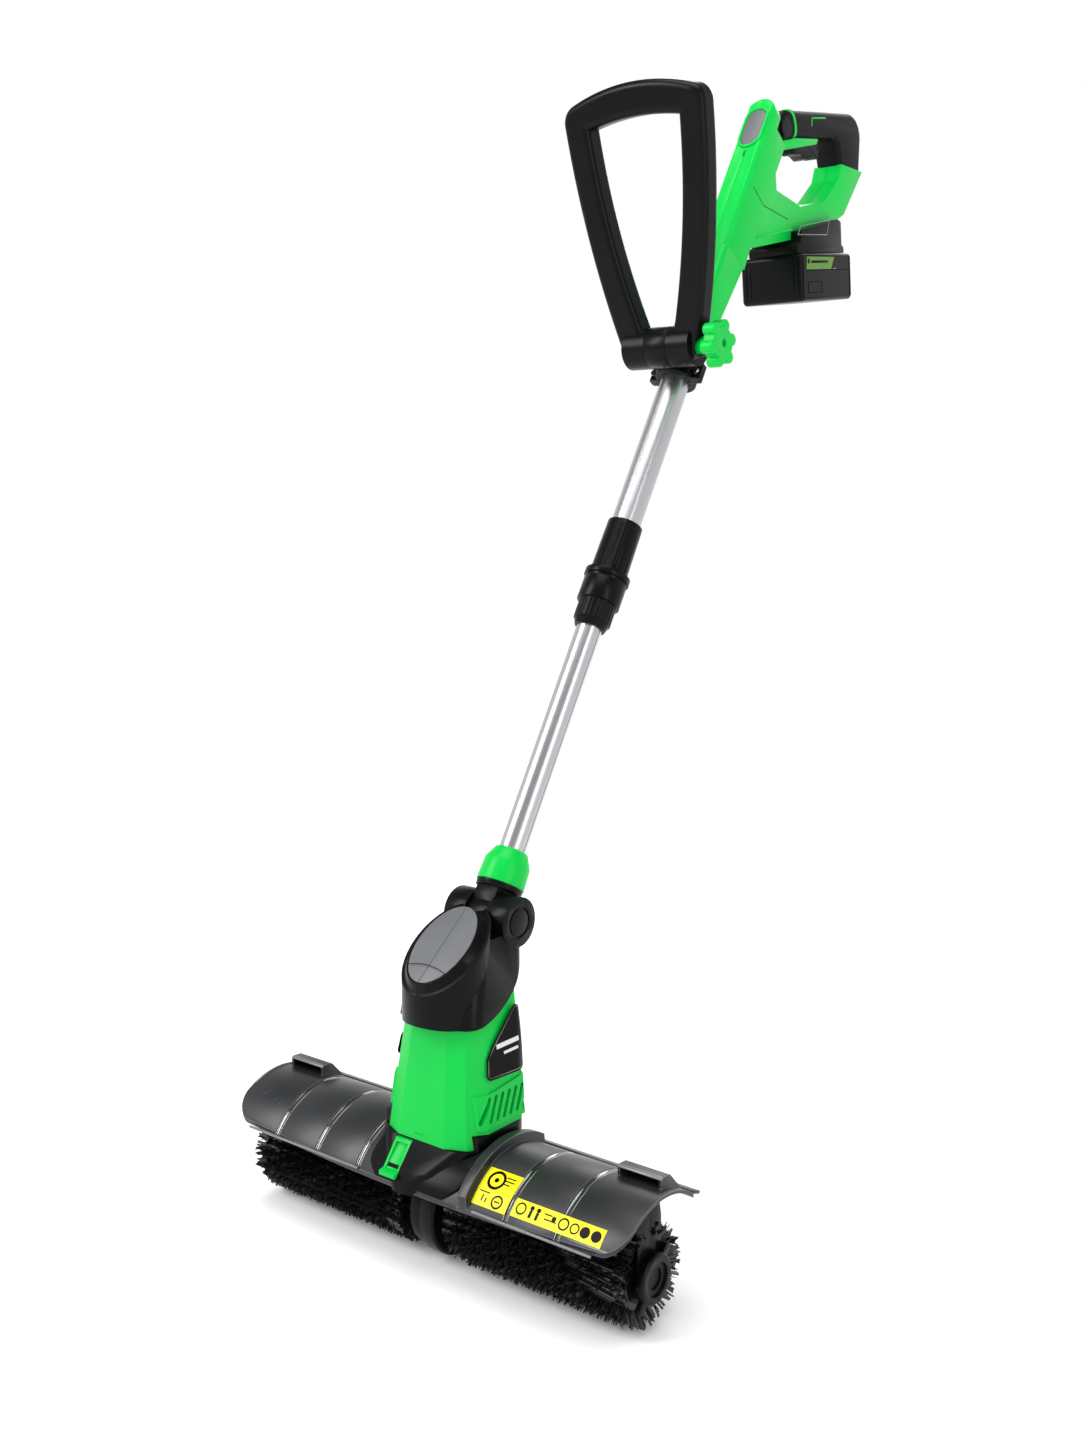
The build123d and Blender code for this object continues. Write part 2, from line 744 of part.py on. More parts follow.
hub_plane = Plane(origin=hub, x_dir=(0, 1, 0), z_dir=(1, 0, 0))
clamp_radius = 22.0
clamp_screw_x = 25.5
clamp_screw_along = 598.0
lug_thick = 5.5
barrel_half = 13.0
eye_start = 13.4
for side, word in ((-1, "front"), (1, "rear")):
    with BuildPart() as clamp:
        with BuildSketch(pole_plane(clamp_foot)):
            Circle(clamp_radius)
        extrude(amount=clamp_top - clamp_foot)
        fillet(clamp.edges().filter_by(GeomType.CIRCLE), 1.5)
        with BuildSketch(pole_plane(clamp_foot)):
            RectangleRounded(2 * clamp_screw_x + 10, 2 * lug_thick, 3)
        extrude(amount=18)
        with BuildSketch(pole_plane(clamp_foot - 1)):
            with Locations((0, -side * 25)):
                Rectangle(80, 50)
        extrude(amount=clamp_top - clamp_foot + 2, mode=Mode.SUBTRACT)
        if side < 0:
            with BuildSketch(pole_plane(clamp_foot + 3)):
                with Locations((0, -hub_ahead / 2)):
                    Rectangle(2 * barrel_half, hub_ahead)
            extrude(amount=clamp_top - clamp_foot - 6)
            with BuildSketch(hub_plane.offset(-barrel_half)):
                Circle(hub_radius)
            extrude(amount=2 * barrel_half)
        for start in (-eye_start - 30, eye_start - play):
            with BuildSketch(hub_plane.offset(start)):
                Circle(hub_radius + play)
            extrude(amount=30 + play, mode=Mode.SUBTRACT)
        with BuildSketch(pole_plane(clamp_foot - 5)):
            Circle(upper_tube_radius)
        extrude(amount=clamp_top - clamp_foot + 10, mode=Mode.SUBTRACT)
        with BuildSketch(hub_plane.offset(-50)):
            Circle(4)
        extrude(amount=120, mode=Mode.SUBTRACT)
        with BuildSketch(front_plane(20)):
            with Locations((-clamp_screw_x, clamp_screw_along), (clamp_screw_x, clamp_screw_along)):
                Circle(1.8)
        extrude(amount=40, mode=Mode.SUBTRACT)
    save(clamp, f"clamp_{word}")

with BuildPart() as clamp_screws:
    with BuildSketch(front_plane(lug_thick)):
        with Locations((-clamp_screw_x, clamp_screw_along), (clamp_screw_x, clamp_screw_along)):
            Circle(1.8)
    extrude(amount=2 * lug_thick)
    with BuildSketch(front_plane(-lug_thick)):
        with Locations((-clamp_screw_x, clamp_screw_along), (clamp_screw_x, clamp_screw_along)):
            Circle(3.4)
    extrude(amount=2.4)
save(clamp_screws, "clamp_screws")

knob_start = 56.0
knob_thick = 15.0
with BuildPart() as clamp_bolt:
    with BuildSketch(hub_plane.offset(-40)):
        Circle(4)
    extrude(amount=100)
    with BuildSketch(hub_plane.offset(-44)):
        RegularPolygon(7, 6)
    extrude(amount=3.7)
save(clamp_bolt, "clamp_bolt")

with BuildPart() as star_knob:
    with BuildSketch(hub_plane.offset(knob_start)):
        Circle(17.5)
        with PolarLocations(18, 6, start_angle=15):
            Circle(6.5)
    extrude(amount=knob_thick)
    fillet(star_knob.faces().filter_by(Axis.X).edges(), 2.5)
    with BuildSketch(hub_plane.offset(40.3)):
        Circle(9)
    extrude(amount=knob_start - 40.3)
    with BuildSketch(hub_plane.offset(40)):
        Circle(4 + running_gap)
    extrude(amount=40, mode=Mode.SUBTRACT)
save(star_knob, "star_knob")

# ---------------------------------------------------------------- front handle
bow_up = Vector(0, sin(radians(bow_lean)), cos(radians(bow_lean)))
bow_front = Vector(0, -cos(radians(bow_lean)), sin(radians(bow_lean)))
bow_plane = Plane(origin=hub, x_dir=(1, 0, 0), z_dir=bow_front)
bow_top = 254.5
bow_seam = 207.0
with BuildPart() as bow:
    with BuildSketch(bow_plane):
        with BuildLine():
            ThreePointArc((-83, 238), (0, bow_top), (83, 238))
            ThreePointArc((53, 217), (0, 222.3), (-53, 217))
            for side in (-1, 1):
                ThreePointArc((83 * side, 238), (71.5 * side, 115), (46.5 * side, 0))
                Polyline((46.5 * side, 0), (40 * side, -13), (15 * side, -13), (15 * side, 8))
                Line((15 * side, 8), (19.5 * side, 20))
                ThreePointArc((19.5 * side, 20), (42 * side, 115), (53 * side, 217))
        outline = make_face()
        fillet([corner for corner in outline.vertices() if corner.Y > 230], 18)
    extrude(amount=bow_depth / 2, both=True)
    flat_sides = [face for face in bow.faces() if abs(face.normal_at().dot(bow_front)) > 0.99]
    side_edges = [edge for face in flat_sides for edge in face.edges()]
    long_edges = [edge for edge in side_edges if (edge.center() - hub).dot(bow_up) > 25]
    fillet(long_edges, 7)
    for start in (-40, eye_start):
        with BuildSketch(hub_plane.offset(start)):
            Circle(hub_radius)
        extrude(amount=40 - eye_start)
    with BuildSketch(hub_plane.offset(-barrel_half - 0.4)):
        Circle(60)
    extrude(amount=2 * barrel_half + 0.8, mode=Mode.SUBTRACT)
    with BuildSketch(hub_plane.offset(-60)):
        Circle(4 + running_gap)
    extrude(amount=120, mode=Mode.SUBTRACT)
    for start in (-60, 40):
        with BuildSketch(hub_plane.offset(start)):
            Circle(12)
        extrude(amount=20, mode=Mode.SUBTRACT)
seam_plane = Plane(origin=hub + bow_up * bow_seam, x_dir=(1, 0, 0), z_dir=bow_up)
with BuildPart() as bow_core:
    with BuildSketch(bow_plane):
        with BuildLine():
            ThreePointArc((-74, 231), (0, 247), (74, 231))
            ThreePointArc((-60, 226), (0, 229.5), (60, 226))
            for side in (-1, 1):
                Polyline((74 * side, 231), (75 * side, bow_seam), (60 * side, bow_seam), (60 * side, 226))
        make_face()
    extrude(amount=6, both=True)
with BuildPart() as d_handle:
    add(bow.part)
    split(bisect_by=seam_plane, keep=Keep.BOTTOM)
    add(bow_core.part)
save(d_handle, "d_handle")
with BuildPart() as d_handle_top:
    add(bow.part)
    split(bisect_by=seam_plane, keep=Keep.TOP)
    add(bow_core.part, mode=Mode.SUBTRACT)
save(d_handle_top, "d_handle_top")

# ---------------------------------------------------------------- rear handle
arm_front = -17.5
arm_back = 28.0


def arm_point(back, along):
    """A place on the pole's side view as (y, z)."""
    place = pivot + pole_back * back + pole_up * along
    return place.Y, place.Z


shell_outline = (
    arm_point(arm_front, arm_seam),
    arm_point(arm_front, arm_top),
    arm_point(0.5, arm_top),
    arm_point(0.8, 917),
    arm_point(arm_back, 915),
    arm_point(arm_back, 872),
    (530, 1030),
    (585, 1021),
    (640, 1035),
    (675, 1065),
    (681.5, 1083.3),
    (734.5, 1083.3),
    (690, 1027),
    (640, 1003),
    (600, 990),
    (476, 961),
    arm_point(arm_back - 1.5, arm_seam),
)
shell_wall = 2.6
with BuildPart() as handle_shell:
    with BuildSketch(Plane.YZ.offset(-arm_half)):
        with BuildLine():
            Polyline(*shell_outline, close=True)
        make_face()
    extrude(amount=2 * arm_half)
    chamfer(handle_shell.edges().filter_by(Axis((0, 0, 0), pole_up)), 4)
    with BuildSketch(front_plane(15)):
        with Locations((0, arm_top - arm_half + 40)):
            Rectangle(80, 80)
        with Locations((0, arm_top - arm_half)):
            Circle(arm_half, mode=Mode.SUBTRACT)
    extrude(amount=60, mode=Mode.SUBTRACT)
    with BuildSketch(Plane.YZ.offset(-arm_half + shell_wall)):
        with BuildLine():
            Polyline(*shell_outline, close=True)
        make_face()
        offset(amount=-shell_wall - 1.5, kind=Kind.INTERSECTION, mode=Mode.REPLACE)
    extrude(amount=2 * (arm_half - shell_wall), mode=Mode.SUBTRACT)
    with BuildSketch(front_plane(arm_front + 1.2)):
        with Locations((0, 907)):
            SlotOverall(48, 23, rotation=90)
    extrude(amount=5, mode=Mode.SUBTRACT)
for side, word in ((-1, "left"), (1, "right")):
    with BuildPart() as handle_half:
        add(handle_shell.part)
        split(bisect_by=Plane.YZ, keep=Keep.TOP if side > 0 else Keep.BOTTOM)
    save(handle_half, f"handle_{word}")

with BuildPart() as handle_pad:
    with BuildSketch(front_plane(arm_front + 1.2)):
        with Locations((0, 907)):
            SlotOverall(47.4, 22.4, rotation=90)
    extrude(amount=1.6)
save(handle_pad, "handle_pad")

with BuildPart() as handle_sleeve:
    with BuildSketch(pole_plane(sleeve_foot)):
        with Locations((0, 0.5)):
            RectangleRounded(34, 34, 7)
    with BuildSketch(pole_plane(arm_seam)):
        with Locations((0, (arm_front + arm_back - 1.5) / 2)):
            RectangleRounded(2 * arm_half, arm_back - 1.5 - arm_front, 5)
    loft()
    with BuildSketch(pole_plane(sleeve_foot - 5)):
        Circle(upper_tube_radius)
    extrude(amount=arm_seam - sleeve_foot + 10, mode=Mode.SUBTRACT)
save(handle_sleeve, "handle_sleeve")

grip_outline = (
    arm_point(1.1, 917.3),
    arm_point(0.8, 950),
    (556, 1119.5),
    (590, 1128),
    (703, 1148),
    (727, 1146),
    (734.5, 1083.6),
    (681.8, 1083.6),
    (672, 1104),
    (572, 1092),
    arm_point(arm_back - 0.3, 915.3),
)
trigger_hinge = (584.0, 1099.0)
button_place = (549.0, 1099.0)
button_radius = 10.5
with BuildPart() as grip:
    with BuildSketch(Plane.YZ.offset(-16)):
        with BuildLine():
            Polyline(*grip_outline, close=True)
        make_face()
    extrude(amount=32)
    upper_edges = [edge for edge in grip.edges() if abs(edge.center().X) > 15.9 and edge.center().Z > 1122]
    fillet(upper_edges, 8)
    with BuildSketch(Plane.YZ.offset(-8 - play)):
        with BuildLine():
            Polyline((572, 1070), (572, 1104), (602, 1124), (652, 1132), (652, 1070), close=True)
        make_face()
    extrude(amount=16 + 2 * play, mode=Mode.SUBTRACT)
    with BuildSketch(Plane.YZ.offset(-12.3)):
        with Locations(trigger_hinge):
            Circle(2 + running_gap)
    extrude(amount=24.6, mode=Mode.SUBTRACT)
    with BuildSketch(Plane.YZ.offset(-20)):
        with Locations(button_place):
            Circle(button_radius + running_gap)
    extrude(amount=40, mode=Mode.SUBTRACT)
save(grip, "grip")

with BuildPart() as lock_button:
    with BuildSketch(Plane.YZ.offset(-18)):
        with Locations(button_place):
            Circle(button_radius)
    extrude(amount=36)
    fillet(lock_button.edges().filter_by(GeomType.CIRCLE), 1.2)
save(lock_button, "lock_button")

with BuildPart() as trigger:
    with BuildSketch(Plane.YZ.offset(-8)):
        with BuildLine():
            Polyline((579, 1091), (579, 1103), (590, 1106), (645, 1111), (643, 1093), (640, 1083))
            Spline((640, 1083), (628, 1082), (612, 1078), (600, 1081), (588, 1079), (579, 1091))
        make_face()
    extrude(amount=16)
    with BuildSketch(Plane.YZ.offset(-12)):
        with Locations(trigger_hinge):
            Circle(2)
    extrude(amount=24)
save(trigger, "trigger")

with BuildPart() as switch_box:
    with BuildSketch(Plane.YZ.offset(-8 - play)):
        with BuildLine():
            Polyline((602, 1114), (651, 1122.5), (651, 1131.5), (602, 1123.5), close=True)
        make_face()
    extrude(amount=16 + 2 * play)
save(switch_box, "switch_box")

# ---------------------------------------------------------------- battery and its dock
battery_corner = (557.0, 912.0)


def battery_plane(offset=0.0):
    """The battery's side view. Local x runs back along its bottom edge, local y up."""
    return tilted_side(*battery_corner, battery_tilt, offset)


rail_top = 8.0
dock_half = 31.0
with BuildPart() as battery_dock:
    with BuildSketch(battery_plane(-dock_half)):
        with BuildLine():
            Polyline(
                (6, battery_depth + play),
                (6, 61),
                (15, 65),
                (17, 77),
                (105, 90),
                (113, 87),
                (113, battery_depth + 10),
                (118, battery_depth + 6),
                (118, battery_depth + play),
                close=True,
            )
        make_face()
    extrude(amount=2 * dock_half)
    chamfer(battery_dock.edges().filter_by(Axis.X).sort_by(Axis.Z)[-3:], 1)
    with BuildSketch(Plane.YZ.offset(-arm_half)):
        with BuildLine():
            Polyline(*shell_outline, close=True)
        make_face()
    extrude(amount=2 * arm_half, mode=Mode.SUBTRACT)
    with BuildSketch(battery_plane(-dock_half)):
        with Locations((65, 112)):
            Rectangle(200, 70)
    extrude(amount=dock_half - 28, mode=Mode.SUBTRACT)
    for start, half, low, high in ((10, 22, -5, 3.5), (10, 27, 3, rail_top)):
        with BuildSketch(battery_plane(-half - play)):
            with Locations((start + 60, battery_depth + (low + high) / 2)):
                Rectangle(120, high - low + play)
        extrude(amount=2 * (half + play), mode=Mode.SUBTRACT)
    with BuildSketch(battery_plane(-15)):
        with Locations((118, battery_depth + 4)):
            Rectangle(32, 11)
    extrude(amount=30, mode=Mode.SUBTRACT)
save(battery_dock, "battery_dock")

battery_half = battery_width / 2
with BuildPart() as battery_case:
    with BuildSketch(battery_plane(-battery_half)):
        with Locations((battery_length / 2, battery_depth / 2)):
            RectangleRounded(battery_length, battery_depth, 5)
    extrude(amount=battery_width)
    fillet(battery_case.faces().filter_by(Axis.X).edges(), 4)
    with BuildSketch(battery_plane(-22)):
        with Locations((57, battery_depth + 1)):
            Rectangle(90, 5)
    extrude(amount=44)
    with BuildSketch(battery_plane(-27)):
        with Locations((57, battery_depth + (3.5 + rail_top - 0.3) / 2)):
            Rectangle(90, rail_top - 0.3 - 3.5)
    extrude(amount=54)
    with BuildSketch(battery_plane(-battery_half + 3)):
        with Locations((battery_length / 2, 22)):
            Rectangle(battery_length - 6, 38)
    extrude(amount=battery_width - 6, mode=Mode.SUBTRACT)
    with BuildSketch(battery_plane(-14.3)):
        with Locations((112, battery_depth)):
            Rectangle(16.6, 13)
    extrude(amount=28.6, mode=Mode.SUBTRACT)
save(battery_case, "battery_case")

with BuildPart() as battery_cells:
    with BuildSketch(battery_plane(-32.5)):
        with Locations((60, 22)):
            with GridLocations(18.6, 18.6, 5, 2):
                Circle(9)
    extrude(amount=65)
save(battery_cells, "battery_cells")

with BuildPart() as battery_button:
    with BuildSketch(battery_plane(-14)):
        with BuildLine():
            Polyline((104, 49), (104, 58.5), (113, 58.5), (119.5, 53), (119.5, 49), close=True)
        make_face()
    extrude(amount=28)
save(battery_button, "battery_button")

with BuildPart() as battery_label:
    for start in (-battery_half - 0.4, battery_half):
        with BuildSketch(Plane.YZ.offset(start)):
            with BuildLine():
                Polyline((563, 961.5), (627.6, 969), (621, 955), (563, 947.5), close=True)
            make_face()
        extrude(amount=0.4)
save(battery_label, "battery_label")
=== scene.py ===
"""Looks for a cordless roller-brush sweeper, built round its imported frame. Metres, +Z up."""

import bpy
import bmesh
import json
import random
from math import atan2, cos, degrees, pi, radians, sin
from mathutils import Matrix, Vector


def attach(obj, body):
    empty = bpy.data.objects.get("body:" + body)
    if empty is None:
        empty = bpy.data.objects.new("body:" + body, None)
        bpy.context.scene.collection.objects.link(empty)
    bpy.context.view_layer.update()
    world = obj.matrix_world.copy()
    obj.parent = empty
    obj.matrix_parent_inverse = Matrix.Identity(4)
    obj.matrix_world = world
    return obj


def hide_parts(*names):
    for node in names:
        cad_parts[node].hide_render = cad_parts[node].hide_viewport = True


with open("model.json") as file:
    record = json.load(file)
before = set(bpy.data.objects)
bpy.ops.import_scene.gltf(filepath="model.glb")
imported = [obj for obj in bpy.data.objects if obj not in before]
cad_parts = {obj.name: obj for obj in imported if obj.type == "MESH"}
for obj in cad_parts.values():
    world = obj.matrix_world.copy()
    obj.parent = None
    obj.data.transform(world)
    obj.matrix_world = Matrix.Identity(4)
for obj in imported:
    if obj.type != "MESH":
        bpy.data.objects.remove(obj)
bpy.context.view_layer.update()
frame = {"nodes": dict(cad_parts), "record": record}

# ------------------------------------------------------------------ camera, floor and light
camera_data = bpy.data.cameras.new("camera")
camera_data.lens = 36.94
camera_data.sensor_width = 36.0
camera_data.clip_end = 50
camera = bpy.data.objects.new("camera", camera_data)
camera.location = (0.870, -0.970, 0.6872)
camera.rotation_euler = (radians(81.60), 0, radians(38.19))
bpy.context.scene.collection.objects.link(camera)
bpy.context.scene.camera = camera


def soft_box(name, place, target, size, power):
    """A square studio lamp that faces the target."""
    lamp = bpy.data.lights.new(name, "AREA")
    lamp.shape = "RECTANGLE"
    lamp.size, lamp.size_y = size
    lamp.energy = power
    holder = bpy.data.objects.new(name, lamp)
    holder.location = place
    holder.rotation_euler = (Vector(target) - Vector(place)).to_track_quat("-Z", "Y").to_euler()
    bpy.context.scene.collection.objects.link(holder)


soft_box("key_left", (-1.6, -2.0, 2.4), (0, 0.2, 0.5), (1.0, 1.8), 74)
soft_box("overhead", (0.2, -0.2, 3.4), (0, 0.3, 0.4), (2.2, 2.2), 70)
soft_box("right_strip", (2.6, -0.6, 1.4), (0, 0.3, 0.6), (0.4, 2.2), 22)
soft_box("rear_rim", (-0.8, 3.0, 2.2), (0, 0.3, 0.6), (2.0, 1.2), 34)



def studio_sky():
    """A white room round the object with a dimmer ceiling, so that upper faces show the lamps."""
    world = bpy.data.worlds.new("studio")
    bpy.context.scene.world = world
    world.use_nodes = True
    nodes, link = world.node_tree.nodes, world.node_tree.links.new
    direction = nodes.new("ShaderNodeTexCoord")
    height = nodes.new("ShaderNodeSeparateXYZ")
    dimming = nodes.new("ShaderNodeMapRange")
    dimming.interpolation_type = "SMOOTHSTEP"
    for socket, value in (("From Min", 0.34), ("From Max", 0.70), ("To Min", 1.0), ("To Max", 0.22)):
        dimming.inputs[socket].default_value = value
    nodes["Background"].inputs["Color"].default_value = (1, 1, 1, 1)
    link(direction.outputs["Generated"], height.inputs["Vector"])
    link(height.outputs["Z"], dimming.inputs["Value"])
    link(dimming.outputs["Result"], nodes["Background"].inputs["Strength"])


studio_sky()
bpy.context.scene.view_settings.view_transform = "Standard"


# ------------------------------------------------------------------ shared shader groups
def new_group(name, inputs, outputs):
    """An empty node group with number inputs and the named outputs."""
    group = bpy.data.node_groups.new(name, "ShaderNodeTree")
    for word, value in inputs:
        made = group.interface.new_socket(word, in_out="INPUT", socket_type="NodeSocketFloat")
        made.default_value = value
    for word, kind in outputs:
        group.interface.new_socket(word, in_out="OUTPUT", socket_type=kind)
    start = group.nodes.new("NodeGroupInput")
    stop = group.nodes.new("NodeGroupOutput")
    return group, start, stop


def moulded_grain():
    """Fine moulding grain: a height for the bump, and a slow value that varies colour and gloss."""
    group, start, stop = new_group(
        "moulded_grain",
        (("Grain size", 900.0), ("Patch size", 14.0)),
        (("Height", "NodeSocketFloat"), ("Patch", "NodeSocketFloat")),
    )
    places = group.nodes.new("ShaderNodeTexCoord")
    grain = group.nodes.new("ShaderNodeTexNoise")
    grain.inputs["Detail"].default_value = 2
    patch = group.nodes.new("ShaderNodeTexNoise")
    patch.inputs["Detail"].default_value = 4
    link = group.links.new
    link(places.outputs["Object"], grain.inputs["Vector"])
    link(places.outputs["Object"], patch.inputs["Vector"])
    link(start.outputs["Grain size"], grain.inputs["Scale"])
    link(start.outputs["Patch size"], patch.inputs["Scale"])
    link(grain.outputs["Fac"], stop.inputs["Height"])
    link(patch.outputs["Fac"], stop.inputs["Patch"])
    return group


def drawn_lines():
    """Fine lines drawn along the pole, for tube and shaft metal."""
    group, start, stop = new_group(
        "drawn_lines",
        (("Fineness", 1.0),),
        (("Height", "NodeSocketFloat"), ("Streak", "NodeSocketFloat")),
    )
    places = group.nodes.new("ShaderNodeTexCoord")
    along = group.nodes.new("ShaderNodeMapping")
    along.inputs["Rotation"].default_value = (radians(31), 0, 0)
    along.inputs["Scale"].default_value = (1200, 1200, 6)
    lines = group.nodes.new("ShaderNodeTexNoise")
    lines.inputs["Detail"].default_value = 3
    link = group.links.new
    link(places.outputs["Object"], along.inputs["Vector"])
    link(along.outputs["Vector"], lines.inputs["Vector"])
    link(start.outputs["Fineness"], lines.inputs["Scale"])
    link(lines.outputs["Fac"], stop.inputs["Height"])
    link(lines.outputs["Fac"], stop.inputs["Streak"])
    return group


grain_group = moulded_grain()
lines_group = drawn_lines()


def finish_of(
    name, base, rough, metal=0.0, specular=0.5, coat=0.0, shade=0.12, bump=0.05, grain=900.0,
    lined=False
):
    """A material whose colour and gloss vary slowly and whose surface has a fine grain or drawn lines."""
    made = bpy.data.materials.new(name)
    made.use_nodes = True
    nodes, link = made.node_tree.nodes, made.node_tree.links.new
    shader = nodes["Principled BSDF"]
    shader.inputs["Metallic"].default_value = metal
    shader.inputs["Specular IOR Level"].default_value = specular
    shader.inputs["Coat Weight"].default_value = coat
    shader.inputs["Coat Roughness"].default_value = 0.12
    surface = nodes.new("ShaderNodeGroup")
    surface.node_tree = lines_group if lined else grain_group
    slow = surface.outputs["Streak" if lined else "Patch"]
    if not lined:
        surface.inputs["Grain size"].default_value = grain
    tint = nodes.new("ShaderNodeValToRGB")
    tint.color_ramp.elements[0].position = 0.3
    tint.color_ramp.elements[1].position = 0.7
    tint.color_ramp.elements[0].color = (*[value * (1 - shade) for value in base], 1)
    tint.color_ramp.elements[1].color = (*[min(1, value * (1 + shade)) for value in base], 1)
    gloss = nodes.new("ShaderNodeMapRange")
    gloss.inputs["To Min"].default_value = rough * 0.85
    gloss.inputs["To Max"].default_value = min(1, rough * 1.15)
    relief = nodes.new("ShaderNodeBump")
    relief.inputs["Strength"].default_value = bump
    relief.inputs["Distance"].default_value = 0.0004
    link(slow, tint.inputs["Fac"])
    link(slow, gloss.inputs["Value"])
    link(tint.outputs["Color"], shader.inputs["Base Color"])
    link(gloss.outputs["Result"], shader.inputs["Roughness"])
    link(surface.outputs["Height"], relief.inputs["Height"])
    link(relief.outputs["Normal"], shader.inputs["Normal"])
    return made


finishes = {
    "green_plastic": finish_of(
        "green_plastic", (0.0, 0.46, 0.052), 0.34, specular=0.16, shade=0.05, bump=0.05
    ),
    "green_dark": finish_of("green_dark", (0.0, 0.16, 0.022), 0.4, specular=0.2, shade=0.05),
    "black_plastic": finish_of(
        "black_plastic", (0.0022, 0.0024, 0.0027), 0.30, specular=0.10, bump=0.06, shade=0.2
    ),
    "black_satin": finish_of(
        "black_satin", (0.002, 0.0022, 0.0025), 0.24, specular=0.12, bump=0.04, shade=0.2
    ),
    "hood_plastic": finish_of(
        "hood_plastic", (0.012, 0.013, 0.0145), 0.38, specular=0.42, bump=0.1, shade=0.25
    ),
    "channel_gloss": finish_of(
        "channel_gloss", (0.004, 0.0045, 0.005), 0.12, specular=1.0, coat=0.8, bump=0.02
    ),
    "black_grip": finish_of(
        "black_grip", (0.0024, 0.0024, 0.0026), 0.46, specular=0.10, bump=0.3, grain=1400.0
    ),
    "grey_pad": finish_of("grey_pad", (0.115, 0.118, 0.128), 0.42, specular=0.35, bump=0.12, shade=0.14),
    "dark_gap": finish_of("dark_gap", (0.0015, 0.0015, 0.0015), 0.8, specular=0.05, shade=0.2),
    "tube_aluminium": finish_of(
        "tube_aluminium", (0.47, 0.475, 0.49), 0.3, metal=1.0, shade=0.03, bump=0.03, lined=True
    ),
    "steel": finish_of("steel", (0.50, 0.50, 0.52), 0.3, metal=1.0, shade=0.06, bump=0.06),
    "nylon_gear": finish_of("nylon_gear", (0.66, 0.64, 0.56), 0.45, shade=0.05),
    "bristle": finish_of("bristle", (0.011, 0.011, 0.012), 0.34, specular=0.5, shade=0.6, bump=0.1),
    "yellow_label": finish_of("yellow_label", (0.80, 0.72, 0.0), 0.4, specular=0.25, shade=0.05),
    "black_label": finish_of("black_label", (0.002, 0.002, 0.0023), 0.34, specular=0.06, shade=0.1),
    "white_ink": finish_of("white_ink", (0.62, 0.62, 0.60), 0.5, shade=0.05),
    "grey_ink": finish_of("grey_ink", (0.20, 0.20, 0.195), 0.5, shade=0.05),
    "olive_label": finish_of("olive_label", (0.085, 0.21, 0.03), 0.4, specular=0.2, shade=0.1),
    "cell_wrap": finish_of("cell_wrap", (0.04, 0.14, 0.45), 0.35, shade=0.1),
    # A light grey for edges: painted highlight where rounded edges catch the light, together with wear
    "edge_highlight_and_wear": finish_of("edge_highlight_and_wear", (0.13, 0.135, 0.14), 0.3, specular=0.6, bump=0.05, shade=0.1),
}
finish_by_node = {row["node"]: row["material_slot"] for row in frame["record"]["subparts"]}
for node, solid in frame["nodes"].items():
    solid.data.materials.clear()
    solid.data.materials.append(finishes[finish_by_node[node]])


# ------------------------------------------------------------------ modelling helpers
def clear_selection():
    """Nothing stays selected before the next piece is made."""
    if bpy.context.object and bpy.context.object.mode != "OBJECT":
        bpy.ops.object.mode_set(mode="OBJECT")
    bpy.ops.object.select_all(action="DESELECT")


def hold(piece):
    """Make this piece the only selected, active one."""
    clear_selection()
    piece.select_set(True)
    bpy.context.view_layer.objects.active = piece


def apply_all(piece):
    """Apply every modifier in turn."""
    hold(piece)
    for modifier in list(piece.modifiers):
        bpy.ops.object.modifier_apply(modifier=modifier.name)


def settle(piece, name, body, finish):
    """Name a finished piece, give it its finish and let it ride."""
    hold(piece)
    bpy.ops.object.transform_apply(location=True, rotation=True, scale=True)
    piece.name = name
    piece.data.name = name
    piece.data.materials.clear()
    piece.data.materials.append(finishes[finish])
    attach(piece, body)
    return piece


def softened(node, width, segments=2, sharp=28.0, name=None, body=None, finish=None):
    """A copy of a CAD piece with its edges rounded, which stands for it."""
    solid = frame["nodes"][node]
    clear_selection()
    copy = bpy.data.objects.new(name or f"{node}_moulding", solid.data.copy())
    bpy.context.scene.collection.objects.link(copy)
    hold(copy)
    bpy.ops.object.mode_set(mode="EDIT")
    bpy.ops.mesh.select_all(action="SELECT")
    bpy.ops.mesh.remove_doubles(threshold=0.00001)
    bpy.ops.mesh.dissolve_limited(angle_limit=radians(0.6))
    bpy.ops.object.mode_set(mode="OBJECT")
    if copy.data.has_custom_normals:
        bpy.ops.mesh.customdata_custom_splitnormals_clear()
    rounding = copy.modifiers.new("rounding", "BEVEL")
    rounding.width = width
    rounding.segments = segments
    rounding.limit_method = "ANGLE"
    rounding.angle_limit = radians(sharp)
    rounding.use_clamp_overlap = True
    apply_all(copy)
    bpy.ops.object.shade_smooth_by_angle(angle=radians(32))
    slot = finish_by_node[node]
    settle(copy, name or f"{node}_moulding", body or body_by_node[node], finish or slot)
    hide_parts(node)
    return copy


def paint_edge_highlights(piece, reach):
    """Paint the narrow faces along a moulding's edges a lighter grey: a painted highlight where the
    rounded edges catch the light, together with a worn look.
    """
    piece.data.materials.append(finishes["edge_highlight_and_wear"])
    shell = bmesh.new()
    shell.from_mesh(piece.data)
    for face in shell.faces:
        if len(face.verts) != 4:
            continue
        longest = max(edge.calc_length() for edge in face.edges)
        if 0 < face.calc_area() / longest < 0.0009 and longest < reach * 40:
            face.material_index = 1
    shell.to_mesh(piece.data)
    shell.free()


body_by_node = {}
for body_name, names in frame["record"]["behaviour"]["bodies"].items():
    for node in names:
        body_by_node[node] = body_name

